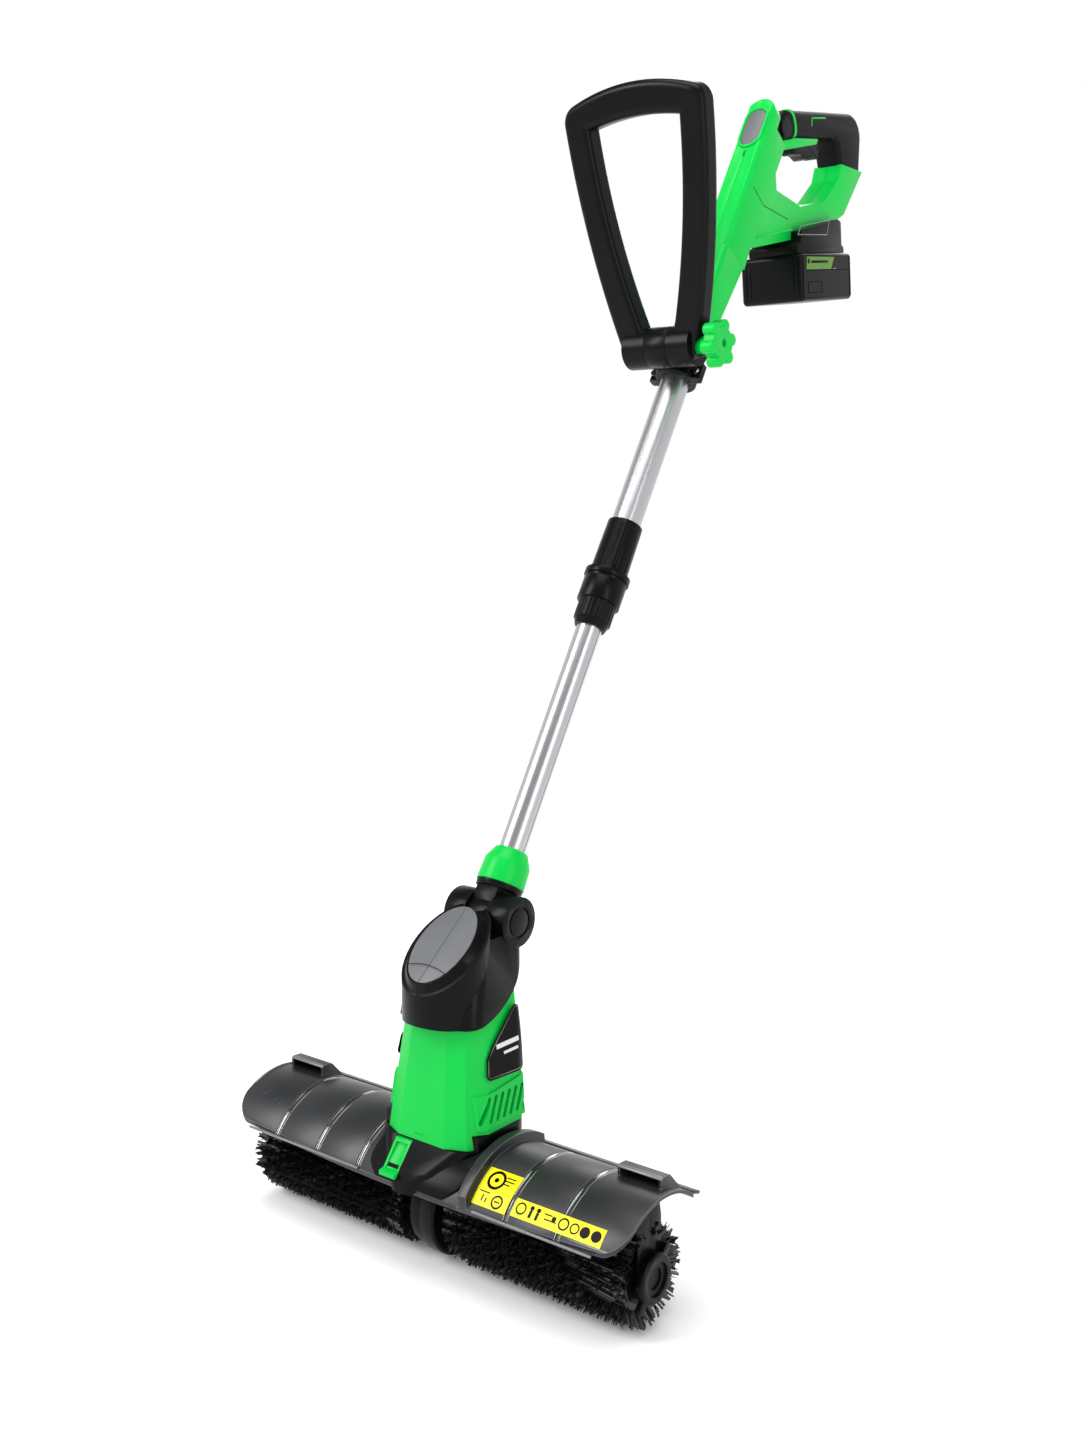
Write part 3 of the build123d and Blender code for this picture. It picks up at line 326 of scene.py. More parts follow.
# ------------------------------------------------------------------ floor
clear_selection()
bpy.ops.mesh.primitive_plane_add(size=30, location=(0, 0, 0))
floor = bpy.context.object
floor.name = "floor"
glowing_floor = finish_of("glowing_floor", (0.95, 0.95, 0.95), 0.9, specular=0.0, shade=0.004, bump=0.0)
glowing_floor.node_tree.nodes["Principled BSDF"].inputs["Emission Color"].default_value = (1, 1, 1, 1)
floor_nodes, floor_link = glowing_floor.node_tree.nodes, glowing_floor.node_tree.links.new
floor_place = floor_nodes.new("ShaderNodeTexCoord")
distance = floor_nodes.new("ShaderNodeVectorMath")
distance.operation = "LENGTH"
# Painted light: the floor glows more with distance from the object (0.05 near, 0.60 beyond 2.4 m), so the
# far floor turns white while the shadow near the object stays
glow = floor_nodes.new("ShaderNodeMapRange")
for socket, value in (("From Min", 0.5), ("From Max", 2.4), ("To Min", 0.05), ("To Max", 0.60)):
    glow.inputs[socket].default_value = value
floor_link(floor_place.outputs["Object"], distance.inputs[0])
floor_link(distance.outputs["Value"], glow.inputs["Value"])
floor_link(glow.outputs["Result"], floor_nodes["Principled BSDF"].inputs["Emission Strength"])
floor.data.materials.append(glowing_floor)

# ------------------------------------------------------------------ places shared by the pieces
brush_axis = Vector((0, 0, 0.047))
hood_radius = 0.076
pivot = Vector((0, 0.055, 0.308))
pole_up = Vector((0, sin(radians(31)), cos(radians(31))))
pole_back = Vector((0, cos(radians(31)), -sin(radians(31))))


def on_pole(back, along, x=0.0):
    """A place beside the pole's line, in metres from the tilt pivot."""
    return pivot + pole_back * back + pole_up * along + Vector((x, 0, 0))


def select_where(piece, test, kind="VERT"):
    """In edit mode, select only the vertices or faces whose place passes the test."""
    hold(piece)
    bpy.ops.object.mode_set(mode="EDIT")
    bpy.ops.mesh.select_mode(type=kind)
    bpy.ops.mesh.select_all(action="DESELECT")
    shell = bmesh.from_edit_mesh(piece.data)
    if kind == "VERT":
        for corner in shell.verts:
            corner.select_set(test(corner.co))
    else:
        for face in shell.faces:
            face.select_set(test(face.calc_center_median(), face.normal))
    shell.select_flush_mode()
    bmesh.update_edit_mesh(piece.data)


def slab(size, place=(0, 0, 0), turn=(0, 0, 0)):
    """A block at its size, turned and placed, ready to be shaped."""
    clear_selection()
    bpy.ops.mesh.primitive_cube_add(size=1, location=place, rotation=turn)
    piece = bpy.context.object
    piece.scale = size
    bpy.ops.object.transform_apply(location=True, rotation=True, scale=True)
    return piece


def round_edges(piece, width, segments=2, sharp=30.0):
    """Round every sharp edge of a piece and smooth the rest."""
    rounding = piece.modifiers.new("rounding", "BEVEL")
    rounding.width = width
    rounding.segments = segments
    rounding.limit_method = "ANGLE"
    rounding.angle_limit = radians(sharp)
    apply_all(piece)
    bpy.ops.object.shade_smooth_by_angle(angle=radians(35))
    return piece


def slice_off(piece, place, facing):
    """Cut a piece with a plane and close it, dropping the side that the plane faces."""
    hold(piece)
    bpy.ops.object.mode_set(mode="EDIT")
    bpy.ops.mesh.select_all(action="SELECT")
    bpy.ops.mesh.bisect(plane_co=place, plane_no=facing, use_fill=True, clear_outer=True)
    bpy.ops.object.mode_set(mode="OBJECT")
    return piece


def carve(piece, cutter, how="DIFFERENCE"):
    """Cut one piece with another, which is then thrown away."""
    hold(piece)
    knife = piece.modifiers.new("carve", "BOOLEAN")
    knife.operation = how
    knife.object = cutter
    knife.solver = "EXACT"
    apply_all(piece)
    bpy.data.objects.remove(cutter, do_unlink=True)
    return piece


def join(pieces):
    """Join finished parts into the first one."""
    clear_selection()
    for piece in pieces:
        piece.select_set(True)
    bpy.context.view_layer.objects.active = pieces[0]
    bpy.ops.object.join()
    return pieces[0]


# ------------------------------------------------------------------ roller brush
def bristle_roll(side, word):
    """Stiff bristles in twisted rows: one block of tufts, repeated along and round the roller."""
    dice = random.Random(7 + side)
    inner, outer = 0.022 + 0.003, 0.216 - 0.003
    strands = []
    for number in range(22):
        x = dice.uniform(0, 0.012)
        lean = dice.uniform(-0.42, 0.42)
        turn = dice.uniform(-0.11, 0.11)
        length = dice.uniform(0.0235, 0.0298)
        clear_selection()
        bpy.ops.mesh.primitive_cone_add(
            vertices=3, radius1=0.0011, radius2=0.00035, depth=length, end_fill_type="NOTHING"
        )
        strand = bpy.context.object
        strand.data.transform(Matrix.Translation((0, 0, length / 2)))
        strand.data.transform(Matrix.Rotation(lean, 4, "Y"))
        strand.data.transform(Matrix.Rotation(dice.uniform(-0.12, 0.12), 4, "X"))
        strand.data.transform(Matrix.Translation((x, 0, 0.0165)))
        strand.data.transform(Matrix.Rotation(turn, 4, "X"))
        strands.append(strand)
    roll = join(strands)
    bpy.ops.object.empty_add(location=(0.0105, 0, 0), rotation=(0.13 * side, 0, 0))
    along = bpy.context.object
    bpy.ops.object.empty_add(location=(0.0012, 0, 0), rotation=(2 * pi / 26, 0, 0))
    around = bpy.context.object
    hold(roll)
    for name, count, guide in (("row", 17, along), ("turn", 26, around)):
        repeat = roll.modifiers.new(name, "ARRAY")
        repeat.use_relative_offset = False
        repeat.use_object_offset = True
        repeat.offset_object = guide
        repeat.count = count
    apply_all(roll)
    for guide in (along, around):
        bpy.data.objects.remove(guide, do_unlink=True)
    shell = bmesh.new()
    shell.from_mesh(roll.data)
    for corner in shell.verts:
        corner.co.x = corner.co.x % (outer - inner) + inner
        reach = Vector((0, corner.co.y, corner.co.z)).length
        if reach > 0.03:
            corner.co.y += dice.uniform(-0.0022, 0.0022)
            corner.co.z += dice.uniform(-0.0022, 0.0022)
            corner.co.x += 0.011 * max(0.0, (corner.co.x - 0.185) / 0.028) ** 1.5
            reach = Vector((0, corner.co.y, corner.co.z)).length
            if reach > 0.0468:
                corner.co.y *= 0.0468 / reach
                corner.co.z *= 0.0468 / reach
        if side < 0:
            corner.co.x = -corner.co.x
    shell.to_mesh(roll.data)
    shell.free()
    clear_selection()
    bpy.ops.mesh.primitive_cylinder_add(
        vertices=40, radius=0.031, depth=outer - inner, rotation=(0, pi / 2, 0)
    )
    bed = bpy.context.object
    bed.location = (side * (inner + outer) / 2, 0, 0)
    bpy.ops.object.transform_apply(location=True, rotation=True, scale=True)
    bpy.ops.object.mode_set(mode="EDIT")
    bpy.ops.mesh.subdivide(number_cuts=12)
    bpy.ops.transform.vertex_random(offset=0.0022, seed=5)
    bpy.ops.object.mode_set(mode="OBJECT")
    roll = join([roll, bed])
    roll.data.transform(Matrix.Translation(brush_axis))
    settle(roll, f"bristle_roll_{word}", "brush", "bristle")
    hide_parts(f"bristles_{word}")


bristle_roll(-1, "left")
bristle_roll(1, "right")


# ------------------------------------------------------------------ hood
def hood_place(x, turn, lift=0.0):
    """A place on the hood: turn is in degrees above straight ahead, lift is out from the surface."""
    reach = hood_radius + lift
    return Vector((x, -reach * cos(radians(turn)), brush_axis.z + reach * sin(radians(turn))))


def hood_shells():
    """The two hood mouldings with a rolled edge, and the curled lip along their rear."""
    for node in ("hood_left", "hood_right"):
        # The hood mouldings' narrow edge faces take the light grey edge finish, a painted highlight along
        # the rolled edge
        paint_edge_highlights(softened(node, 0.0013, 3, sharp=40), 0.012)
    for word, low, high in (("left", -0.2335, 0.0615), ("right", 0.0625, 0.2335)):
        lip = slab((high - low, 0.011, 0.0032), ((low + high) / 2, 0.0505, 0.1073), (radians(-14), 0, 0))
        select_where(lip, lambda place: place.y > 0.0525)
        bpy.ops.transform.translate(value=(0, 0.0015, -0.0018))
        bpy.ops.object.mode_set(mode="OBJECT")
        round_edges(lip, 0.0012, 3)
        settle(lip, f"hood_rear_lip_{word}", "head", "hood_plastic")


def apron():
    """The smooth plate that the head sits on, with a curved edge on both sides."""
    clear_selection()
    bpy.ops.mesh.primitive_cylinder_add(
        vertices=144, radius=hood_radius + 0.0008, depth=0.128, end_fill_type="NOTHING",
        rotation=(0, pi / 2, 0), location=(0.004, 0, brush_axis.z)
    )
    plate = bpy.context.object
    bpy.ops.object.transform_apply(location=True, rotation=True, scale=True)
    cuts = (
        (hood_place(0, 31.5), (0, sin(radians(-31.5)), -cos(radians(31.5)))),
        (hood_place(0, 74), (0, sin(radians(74)), cos(radians(74)))),
        (Vector((-0.048, 0, 0)), (-1, 0, 0)),
        (hood_place(-0.047, 44), (-0.82, 0.25, -0.52)),
        (hood_place(-0.040, 36), (-0.45, 0.30, -0.84)),
        (hood_place(0.050, 36), (0.45, 0.30, -0.84)),
        (hood_place(0.060, 47), (0.86, 0.2, -0.46)),
    )
    hold(plate)
    bpy.ops.object.mode_set(mode="EDIT")
    for place, facing in cuts:
        bpy.ops.mesh.select_all(action="SELECT")
        bpy.ops.mesh.bisect(plane_co=place, plane_no=facing, clear_outer=True)
    bpy.ops.object.mode_set(mode="OBJECT")
    wall = plate.modifiers.new("wall", "SOLIDIFY")
    wall.thickness = 0.0014
    wall.offset = 1
    round_edges(plate, 0.0005, 2)
    settle(plate, "hood_apron", "head", "black_plastic")


hood_shells()
apron()


def sticker_marks():
    """Plain symbols on the yellow stickers: bars, rings and dots with no words."""
    marks = []

    def flat_mark(x, turn, shape, size):
        clear_selection()
        if shape == "ring":
            bpy.ops.mesh.primitive_torus_add(
                major_radius=size, minor_radius=size * 0.16, major_segments=28, minor_segments=6
            )
        elif shape == "dot":
            bpy.ops.mesh.primitive_cylinder_add(vertices=20, radius=size, depth=size * 0.3)
        else:
            bpy.ops.mesh.primitive_cube_add(size=1)
            bpy.context.object.scale = (*size, 0.0004)
            bpy.ops.object.transform_apply(scale=True)
        mark = bpy.context.object
        mark.data.transform(Matrix.Diagonal((1, 1, 0.0002 / max(mark.dimensions.z, 1e-6), 1)))
        mark.data.transform(Matrix.Rotation(radians(90 - turn), 4, "X"))
        mark.data.transform(Matrix.Translation(hood_place(x, turn, 0.00035)))
        marks.append(mark)

    for x, turn, shape, size in (
        (0.0900, 56, "ring", 0.0078),
        (0.0900, 56, "dot", 0.0022),
        (0.1030, 60.0, "bar", (0.010, 0.0011)),
        (0.1030, 57.5, "bar", (0.010, 0.0011)),
        (0.1015, 55.0, "bar", (0.007, 0.0011)),
        (0.0850, 46.5, "bar", (0.011, 0.0010)),
        (0.0850, 42.5, "bar", (0.0012, 0.0060)),
        (0.0890, 41.5, "bar", (0.0012, 0.0040)),
        (0.1010, 42.5, "ring", 0.0052),
        (0.1010, 42.5, "bar", (0.0060, 0.0012)),
        (0.1265, 44.3, "ring", 0.0046),
        (0.1370, 46.8, "dot", 0.0020),
        (0.1370, 42.8, "bar", (0.0026, 0.0064)),
        (0.1440, 46.8, "dot", 0.0020),
        (0.1440, 42.8, "bar", (0.0026, 0.0064)),
        (0.1545, 46.4, "bar", (0.0080, 0.0011)),
        (0.1580, 43.2, "bar", (0.0120, 0.0011)),
        (0.1610, 45.0, "dot", 0.0022),
        (0.1715, 44.3, "ring", 0.0046),
        (0.1830, 44, "ring", 0.0040),
        (0.1935, 44, "dot", 0.0048),
        (0.2050, 44, "dot", 0.0048),
    ):
        flat_mark(x, turn, shape, size)
    settle(join(marks), "sticker_marks", "head", "black_label")


sticker_marks()


# ------------------------------------------------------------------ motor housing
parting_radius = 0.0985
parting_y = -0.02655
parting_z = 0.3257


def housing_block(grow=0.0):
    """The faceted body: a block cut by sloping planes, three on each front corner."""
    block = slab((0.2, 0.2, 0.19), (0, 0, 0.121 + 0.095))
    facets = [
        ((0, -0.042 - grow, 0.121), (0, -0.992, 0.128)),
        ((0, 0.046 + grow, 0.121), (0, 0.995, -0.085)),
        ((0, -0.010, 0.272), (0, -0.90, 0.43)),
    ]
    for side in (-1, 1):
        facets += [
            ((side * (0.059 + grow), 0, 0.121), (side * 0.9936, 0, 0.113)),
            ((side * (0.0275 + grow), -0.042 - grow, 0.121), (side * 0.40, -0.905, 0.145)),
            ((side * (0.047 + grow), -0.0335 - grow, 0.121), (side * 0.80, -0.58, 0.15)),
            ((side * (0.040 + grow), 0.046 + grow, 0.121), (side * 0.62, 0.78, 0.02)),
            ((side * (0.0505 + grow), 0, 0.20), (side * 0.975, 0, 0.225)),
        ]
    for place, facing in facets:
        slice_off(block, Vector(place), Vector(facing).normalized())
    return block


def above_parting():
    """The round space that the black cover fills."""
    clear_selection()
    bpy.ops.mesh.primitive_cylinder_add(
        vertices=160, radius=parting_radius, depth=0.3, rotation=(0, pi / 2, 0),
        location=(0, parting_y, parting_z)
    )
    space = bpy.context.object
    bpy.ops.object.transform_apply(location=True, rotation=True, scale=True)
    rest = slab(
        (0.3, 0.3, 0.2),
        (
            0, 0.056 + 0.15 * cos(radians(48.2)) - 0.1 * sin(radians(48.2)),
            0.272 + 0.15 * sin(radians(48.2)) + 0.1 * cos(radians(48.2))
        ),
        (radians(48.2), 0, 0)
    )
    return space, rest


def green_housing():
    """The bright housing with its sloping vents, raised band and lower step."""
    body = housing_block()
    band = housing_block(0.0022)
    slice_off(band, Vector((0, 0, 0.138)), Vector((0, 0, -1)))
    slice_off(band, Vector((0, 0, 0.170)), Vector((0, -0.1, 1)).normalized())
    slice_off(band, Vector((0, -0.024, 0)), Vector((0, -1, 0)))
    carve(body, band, "UNION")
    hollow = housing_block(-0.0028)
    slice_off(hollow, Vector((0, 0, 0.12101)), Vector((0, 0, -1)))
    carve(body, hollow)
    for space in above_parting():
        carve(body, space)
    carve(body, slab((0.2, 0.1, 0.017), (0, 0.022, 0.125)))
    vents = []
    for number in range(7):
        vent = slab((0.2, 0.0038, 0.026), (0, -0.017 + 0.0092 * number, 0.1545), (radians(-27), 0, 0))
        vents.append(round_edges(vent, 0.0017, 3))
    carve(body, join(vents))
    carve(body, round_edges(slab((0.011, 0.004, 0.0014), (-0.002, -0.0425, 0.1265)), 0.0004))
    body.data.materials.clear()
    hold(body)
    bpy.ops.object.mode_set(mode="EDIT")
    bpy.ops.mesh.select_mode(type="EDGE")
    bpy.ops.mesh.select_all(action="DESELECT")
    shell = bmesh.from_edit_mesh(body.data)
    for edge in shell.edges:
        reaches = [Vector((0, end.co.y - parting_y, end.co.z - parting_z)).length for end in edge.verts]
        outside = [max(abs(end.co.x) - 0.040, -end.co.y - 0.030) > 0 for end in edge.verts]
        on_parting = all(
            abs(reach - parting_radius) < 0.0003 for reach in reaches
        ) and abs(edge.calc_face_angle(0)) > 0.5
        edge.select_set(on_parting and all(outside) and max(end.co.y for end in edge.verts) < 0.050)
    bmesh.update_edit_mesh(body.data)
    bpy.ops.mesh.bevel(offset=0.0026, segments=1, clamp_overlap=True)
    bpy.ops.object.mode_set(mode="OBJECT")
    rounding = body.modifiers.new("rounding", "BEVEL")
    rounding.width = 0.0011
    rounding.segments = 2
    rounding.limit_method = "ANGLE"
    rounding.angle_limit = radians(13)
    apply_all(body)
    bpy.ops.object.shade_smooth_by_angle(angle=radians(11))
    settle(body, "housing_moulding", "head", "green_plastic")
    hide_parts("motor_housing")


green_housing()


def channel_bands():
    """Glossy hollow bands in the hood's channels, and a rolled bead along each end."""
    bands = []
    for x in (-0.168, -0.113, -0.059, 0.115, 0.170):
        clear_selection()
        bpy.ops.mesh.primitive_cylinder_add(
            vertices=120,
            radius=0.0758,
            depth=0.0068,
            end_fill_type="NOTHING",
            rotation=(0, pi / 2, 0),
            location=(x, 0, brush_axis.z),
        )
        band = bpy.context.object
        bpy.ops.object.transform_apply(location=True, rotation=True, scale=True)
        bpy.ops.object.mode_set(mode="EDIT")
        bpy.ops.mesh.subdivide(number_cuts=3)
        for place, facing in (
            (hood_place(x, 33), (0, sin(radians(-33)), -cos(radians(33)))),
            (hood_place(x, 125), (0, cos(radians(35)), -sin(radians(35)))),
        ):
            bpy.ops.mesh.select_all(action="SELECT")
            bpy.ops.mesh.bisect(plane_co=place, plane_no=facing, clear_outer=True)
        bpy.ops.object.mode_set(mode="OBJECT")
        for reach, squeeze in ((0.0002, 0.9868), (0.0020, 0.9965)):
            select_where(band, lambda corner: abs(corner.x - x) < reach)
            bpy.ops.transform.resize(value=(1, squeeze, squeeze), center_override=(x, 0, brush_axis.z))
            bpy.ops.object.mode_set(mode="OBJECT")
        bpy.ops.object.shade_smooth()
        bands.append(band)
    band = join(bands)
    wall = band.modifiers.new("wall", "SOLIDIFY")
    wall.thickness = 0.0002
    wall.offset = -1
    apply_all(band)
    settle(band, "hood_channel_bands", "head", "channel_gloss")


def embossed_marks():
    """Two small raised curves near the hood's left end."""
    marks = []
    for x, turn in ((-0.212, 62), (-0.188, 57)):
        clear_selection()
        bpy.ops.mesh.primitive_torus_add(
            major_radius=0.0048, minor_radius=0.0006, major_segments=32, minor_segments=8
        )
        mark = bpy.context.object
        slice_off(mark, Vector((0, 0.0012, 0)), Vector((0, 1, 0)))
        mark.data.transform(Matrix.Rotation(radians(90 - turn), 4, "X"))
        mark.data.transform(Matrix.Translation(hood_place(x, turn, 0.0)))
        marks.append(mark)
    settle(join(marks), "hood_marks", "head", "hood_plastic")


def hood_beads():
    """The light rolled bead along the hood's front lip and its left end, painted light grey as a
    highlight on the lip.
    """
    outer = [
        corner.co
        for corner in frame["nodes"]["hood_left"].data.vertices
        if corner.co.y < -0.03 and (
            corner.co - brush_axis - Vector((corner.co.x, 0, 0))
        ).length > hood_radius - 0.0004
    ]
    lip = min(outer, key=lambda place: place.z)
    lip_turn = degrees(atan2(lip.z - brush_axis.z, -lip.y))
    beads = []
    for low, high in ((-0.206, -0.058), (0.080, 0.206)):
        clear_selection()
        bpy.ops.mesh.primitive_cylinder_add(
            vertices=12,
            radius=0.0013,
            depth=high - low,
            rotation=(0, pi / 2, 0),
            location=hood_place((low + high) / 2, lip_turn + 0.8, -0.0002),
        )
        bpy.ops.object.transform_apply(location=True, rotation=True, scale=True)
        beads.append(bpy.context.object)
    clear_selection()
    bpy.ops.mesh.primitive_torus_add(
        major_radius=hood_radius - 0.0003,
        minor_radius=0.0013,
        major_segments=120,
        minor_segments=12,
        rotation=(0, pi / 2, 0),
        location=(-0.2325, 0, brush_axis.z),
    )
    ring = bpy.context.object
    bpy.ops.object.transform_apply(location=True, rotation=True, scale=True)
    turn = radians(64)
    slice_off(ring, hood_place(0, 64), Vector((0, -sin(turn), -cos(turn))))
    slice_off(ring, hood_place(0, 120), Vector((0, sin(radians(120)), cos(radians(120)))))
    beads.append(ring)
    bead = join(beads)
    bpy.ops.object.shade_smooth_by_angle(angle=radians(40))
    # The beads take the light grey edge finish: a painted highlight on the rolled lip
    settle(bead, "hood_beads", "head", "edge_highlight_and_wear")


channel_bands()
embossed_marks()
hood_beads()


# ------------------------------------------------------------------ small marks, lines and trims
def on_both_sides(outline, x, width, height, name, body, finish, close=False):
    """Raised bars along a side-view outline of (y, z) places, on the left and the right."""
    bars = []
    ends = list(outline) + ([outline[0]] if close else [])
    for side in (-1, 1):
        for (y1, z1), (y2, z2) in zip(ends, ends[1:]):
            length = ((y2 - y1) ** 2 + (z2 - z1) ** 2) ** 0.5
            bar = slab((height, width, length + width * 0.5))
            bar.data.transform(Matrix.Rotation(atan2(y1 - y2, z2 - z1), 4, "X"))
            bar.data.transform(Matrix.Translation((side * x, (y1 + y2) / 2, (z1 + z2) / 2)))
            bars.append(bar)
    piece = join(bars)
    round_edges(piece, min(width, height) * 0.3, 2)
    return settle(piece, name, body, finish)


def plate(outline, x_low, x_high):
    """A flat plate with a side-view outline of (y, z) places, from one x to another."""
    clear_selection()
    bpy.ops.mesh.primitive_circle_add(vertices=len(outline), radius=1, fill_type="NGON")
    made = bpy.context.object
    for corner, (y, z) in zip(made.data.vertices, outline):
        corner.co = (x_low, y, z)
    bpy.ops.object.mode_set(mode="EDIT")
    bpy.ops.mesh.select_all(action="SELECT")
    bpy.ops.mesh.extrude_region_move(TRANSFORM_OT_translate={"value": (x_high - x_low, 0, 0)})
    bpy.ops.mesh.select_all(action="SELECT")
    bpy.ops.mesh.normals_make_consistent(inside=False)
    bpy.ops.object.mode_set(mode="OBJECT")
    return made


def name_plate_marks():
    """A thin outline and two plain bars on each side's dark name plate."""
    label = frame["nodes"]["side_labels"]
    clear_selection()
    ring = bpy.data.objects.new("ring", label.data.copy())
    bpy.context.scene.collection.objects.link(ring)
    hold(ring)
    bpy.ops.object.mode_set(mode="EDIT")
    bpy.ops.mesh.select_all(action="SELECT")
    bpy.ops.mesh.remove_doubles(threshold=0.00001)
    bpy.ops.mesh.dissolve_limited(angle_limit=radians(2))
    bpy.ops.object.mode_set(mode="OBJECT")
    select_where(ring, lambda place, facing: facing.x * (1 if place.x > 0 else -1) < 0.8, "FACE")
    bpy.ops.mesh.delete(type="FACE")
    for width in (0.0017, 0.0006):
        bpy.ops.mesh.select_all(action="SELECT")
        bpy.ops.mesh.inset(thickness=width, use_even_offset=True)
        if width > 0.001:
            bpy.ops.mesh.select_all(action="INVERT")
        bpy.ops.mesh.delete(type="FACE")
    bpy.ops.object.mode_set(mode="OBJECT")
    wall = ring.modifiers.new("wall", "SOLIDIFY")
    wall.thickness = 0.00025
    wall.offset = 1
    apply_all(ring)
    settle(ring, "name_plate_outline", "head", "grey_ink")
    corners = [corner.co for corner in label.data.vertices]
    low = max(corners, key=lambda place: place.x - place.z)
    high = max(corners, key=lambda place: place.x * 0.3 + place.z)
    lean = (low.x - high.x) / (high.z - low.z)
    bars = []
    for side in (-1, 1):
        for y, z, length, height in ((0.0190, 0.2075, 0.0310, 0.0042), (0.0225, 0.2000, 0.0200, 0.0026)):
            bar = slab((0.0004, length, height))
            bar.data.transform(Matrix.Rotation(-atan2(lean, 1) * side, 4, "Y"))
            reach = low.x - lean * (z - low.z)
            bar.data.transform(Matrix.Translation((side * (reach + 0.0001), y, z)))
            bars.append(bar)
    settle(join(bars), "name_plate_bars", "head", "white_ink")


def cover_lines():
    """A fine cross line near the foot of the cover's pad."""
    slope = radians(39)
    out = Vector((0, -sin(slope), cos(slope)))
    clear_selection()
    bpy.ops.mesh.primitive_torus_add(
        major_radius=0.060, minor_radius=0.00035, major_segments=96, minor_segments=6
    )
    line = bpy.context.object
    slice_off(line, Vector((0, 0.0555, 0)), Vector((0, -1, 0)))
    line.data.transform(Matrix.Translation((0, -0.060 - 0.025, 0)))
    line.data.transform(Matrix.Rotation(slope, 4, "X"))
    middle = Vector((0, -0.0097, 0.2965))
    line.data.transform(Matrix.Translation(middle + out * 0.0016))
    settle(line, "cover_pad_line", "head", "black_satin")


def pad_bezel():
    """The raised rim round the rear handle's pad, and the small mark below it."""
    clear_selection()
    bpy.ops.mesh.primitive_cylinder_add(vertices=64, radius=0.0146, depth=0.0026)
    rim = bpy.context.object
    for sign in (-1, 1):
        select_where(rim, lambda place: place.y * sign > 0.0001)
        bpy.ops.transform.translate(value=(0, sign * 0.0125, 0))
        bpy.ops.object.mode_set(mode="OBJECT")
    clear_selection()
    bpy.ops.mesh.primitive_cylinder_add(vertices=64, radius=0.0119, depth=0.02)
    space = bpy.context.object
    for sign in (-1, 1):
        select_where(space, lambda place: place.y * sign > 0.0001)
        bpy.ops.transform.translate(value=(0, sign * 0.0125, 0))
        bpy.ops.object.mode_set(mode="OBJECT")
    carve(rim, space)
    round_edges(rim, 0.0008, 3)
    turn = Matrix((Vector((1, 0, 0)), pole_up, -pole_back)).transposed().to_4x4()
    if turn.determinant() < 0:
        turn = Matrix((Vector((-1, 0, 0)), pole_up, -pole_back)).transposed().to_4x4()
    rim.data.transform(turn)
    rim.data.transform(Matrix.Translation(on_pole(-0.0179, 0.907)))
    settle(rim, "rear_pad_rim", "upper_pole", "green_plastic")
    mark = slab((0.0020, 0.0075, 0.0008))
    mark.data.transform(turn)
    mark.data.transform(Matrix.Translation(on_pole(-0.0176, 0.8715)))
    settle(mark, "rear_pad_mark", "upper_pole", "green_dark")


def arc(centre, radius, start, stop, steps):
    """Places (y, z) along an arc, from one angle to another in degrees."""
    turns = [radians(start + (stop - start) * step / steps) for step in range(steps + 1)]
    return [(centre[0] + radius * cos(turn), centre[1] + radius * sin(turn)) for turn in turns]


def grip_moulding():
    """The soft black grip: one rounded bar that turns down at the rear and swallows the button."""
    outline = [(0.5420, 1.0820), (0.5340, 1.0980), (0.5400, 1.1140)]
    outline += arc((0.5690, 1.1010), 0.0225, 118, 82, 4)
    outline += arc((0.7080, 1.1190), 0.0265, 98, -8, 10)
    outline += [(0.7330, 1.0770), (0.6830, 1.0770)]
    outline += arc((0.6610, 1.0935), 0.0160, 0, 82, 5)
    outline += [(0.5720, 1.0920)]
    body = plate(outline[::-1], -0.0162, 0.0162)
    hollow = plate(
        ((0.5735, 1.0700), (0.5735, 1.1040), (0.6030, 1.1150), (0.6520, 1.1200), (0.6520, 1.0700)),
        -0.0088, 0.0088
    )
    rounding = body.modifiers.new("rounding", "BEVEL")
    rounding.width = 0.0068
    rounding.segments = 5
    rounding.limit_method = "ANGLE"
    rounding.angle_limit = radians(60)
    apply_all(body)
    hold(body)
    bpy.ops.object.duplicate()
    band = bpy.context.object
    swell = band.modifiers.new("swell", "DISPLACE")
    swell.strength = 0.0008
    swell.mid_level = 0
    apply_all(band)
    rings = []
    for radius in (0.0262, 0.0222):
        clear_selection()
        bpy.ops.mesh.primitive_cylinder_add(
            vertices=96, radius=radius, depth=0.06, rotation=(0, pi / 2, 0), location=(0, 0.5475, 1.0995)
        )
        rings.append(bpy.context.object)
    carve(band, rings[0], "INTERSECT")
    carve(band, rings[1])
    slice_off(band, Vector((0, 0.5500, 0)), Vector((0, -1, 0)))
    slice_off(band, Vector((0, 0, 1.0850)), Vector((0, 0, -1)))
    bpy.ops.object.shade_smooth_by_angle(angle=radians(32))
    settle(band, "grip_band", "upper_pole", "green_plastic")
    carve(body, hollow)
    clear_selection()
    bpy.ops.mesh.primitive_cylinder_add(
        vertices=64, radius=0.0108, depth=0.06, rotation=(0, pi / 2, 0), location=(0, 0.549, 1.099)
    )
    carve(body, bpy.context.object)
    hold(body)
    bpy.ops.object.shade_smooth_by_angle(angle=radians(32))
    settle(body, "grip_moulding", "upper_pole", "black_grip")
    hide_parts("grip")


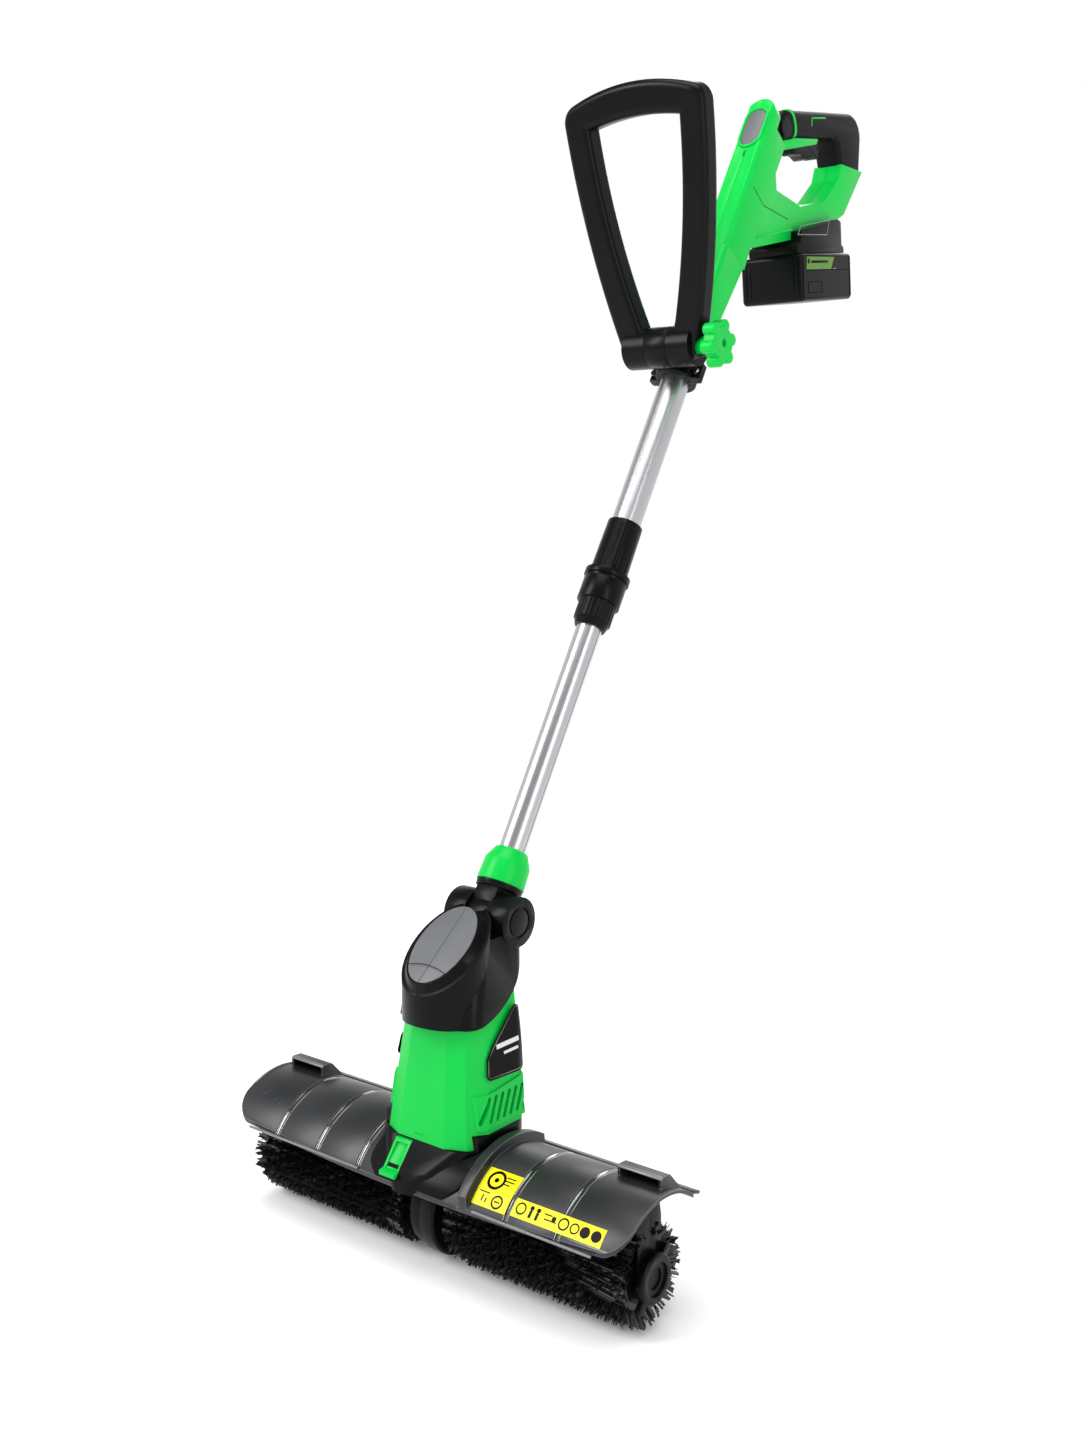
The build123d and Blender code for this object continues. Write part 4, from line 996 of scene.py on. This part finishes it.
def handle_trims():
    """Ridges, grooves and green trims on the rear handle, the same on both sides; the grooves are dark
    green lines of painted shade.
    """
    body = "upper_pole"
    on_both_sides(
        (
            (0.4880, 0.9745), (0.5650, 0.9925)
        ), 0.0182, 0.0026, 0.0012, "gusset_ridge", body, "green_plastic"
    )
    # The groove is a raised dark green line: painted shade where the groove would be
    on_both_sides(
        (
            (0.4800, 1.0250), (0.5020, 1.0095), (0.5560, 1.0030)
        ), 0.0180, 0.0012, 0.0007, "gusset_groove_shade", body, "green_dark"
    )
    on_both_sides(
        (
            (0.6092, 1.1128), (0.6097, 1.1215), (0.6412, 1.1275)
        ), 0.0160, 0.0017, 0.0007, "grip_accent", body, "green_plastic"
    )
    outline = (
        (0.5440, 1.0747), (0.5440, 1.0850), (0.5720, 1.0925), (0.6233, 1.1010), (0.6200, 1.0945),
        (0.5600, 1.0790)
    )
    strips = [plate(outline, side * 0.0161, side * 0.0174) for side in (-1, 1)]
    strips.append(slab((0.020, 0.0024, 0.024), (0, 0.7315, 1.1140), (radians(14), 0, 0)))
    trim = join(strips)
    round_edges(trim, 0.0005, 2)
    settle(trim, "grip_trim", body, "green_plastic")


def battery_place(u, v):
    """A place on the battery's side view: u runs back along its bottom edge, v up."""
    tilt = radians(7.5)
    return (0.557 + u * cos(tilt) - v * sin(tilt), 0.912 + u * sin(tilt) + v * cos(tilt))


def battery_details():
    """Raised frames, ribs, a seam and plain label marks on the battery and its dock."""
    frame_outline = [
        battery_place(u, v) for u,
        v in (
            (0.006, 0.003), (0.114, 0.003), (0.116, 0.005), (0.116, 0.047), (0.114, 0.049),
            (0.006, 0.049), (0.004, 0.047), (0.004, 0.005)
        )
    ]
    on_both_sides(
        frame_outline, 0.0391, 0.0016, 0.0010, "battery_frame", "battery", "black_plastic",
        True
    )
    seam = [battery_place(u, v) for u, v in ((0.013, 0.0335), (0.114, 0.0335))]
    on_both_sides(seam, 0.0391, 0.0006, 0.0006, "battery_seam", "battery", "dark_gap")
    panel = [
        battery_place(u, v) for u,
        v in ((0.014, 0.009), (0.046, 0.009), (0.046, 0.021), (0.014, 0.021))
    ]
    on_both_sides(
        panel, 0.0390, 0.0007, 0.0007, "battery_inset", "battery", "dark_gap", True
    )
    dash = [battery_place(u, v) for u, v in ((0.074, 0.0345), (0.081, 0.0350))]
    on_both_sides(dash, 0.0392, 0.0010, 0.0006, "battery_dash", "battery", "grey_ink")
    marks = [battery_place(u, v) for u, v in ((0.015, 0.0432), (0.017, 0.0432))]
    on_both_sides(
        marks, 0.0395, 0.0050, 0.0004, "battery_mark_block", "battery", "black_label"
    )
    marks = [battery_place(u, v) for u, v in ((0.023, 0.0425), (0.061, 0.0425))]
    on_both_sides(
        marks, 0.0395, 0.0026, 0.0004, "battery_mark_bar", "battery", "black_label"
    )
    # The dock frame bars take the light grey edge finish, a painted highlight along the frame's edges
    dock = ((0.5560, 0.9850), (0.6240, 0.9940), (0.6290, 1.0110), (0.5620, 0.9950))
    on_both_sides(
        dock, 0.0311, 0.0011, 0.0008, "dock_frame", "upper_pole", "edge_highlight_and_wear", True
    )
    ribs = []
    for x in (-0.033, -0.0275, 0.0275, 0.033):
        y, z = battery_place(-0.0001, 0.026)
        ribs.append(slab((0.0022, 0.0014, 0.036), (x, y, z), (radians(7.5), 0, 0)))
    piece = round_edges(join(ribs), 0.0004, 2)
    settle(piece, "battery_ribs", "battery", "black_plastic")


name_plate_marks()
cover_lines()
pad_bezel()
grip_moulding()
handle_trims()
battery_details()


def softened_group():
    """Mouldings whose shape comes from the frame and whose edges are rounded here."""
    for node, width in (
        ("base", 0.0016),
        ("head_latch", 0.0009),
        ("gear_leg_left", 0.0012),
        ("gear_leg_right", 0.0012),
        ("end_cap_left", 0.0006),
        ("end_cap_right", 0.0006),
        ("end_bracket_left", 0.0006),
        ("end_bracket_right", 0.0006),
        ("pivot_cover_left", 0.0012),
        ("pivot_cover_right", 0.0012),
        ("cover_pad", 0.0004),
        ("pole_neck", 0.0010),
        ("pole_socket", 0.0008),
        ("collar", 0.0005),
        ("collar_nut", 0.0005),
        ("clamp_front", 0.0010),
        ("clamp_rear", 0.0010),
        ("star_knob", 0.0022),
        ("handle_left", 0.0016),
        ("handle_right", 0.0016),
        ("handle_sleeve", 0.0012),
        ("handle_pad", 0.0004),
        ("trigger", 0.0014),
        ("lock_button", 0.0010),
        ("battery_dock", 0.0012),
        ("battery_case", 0.0010),
        ("battery_button", 0.0012),
    ):
        softened(node, width)


softened_group()
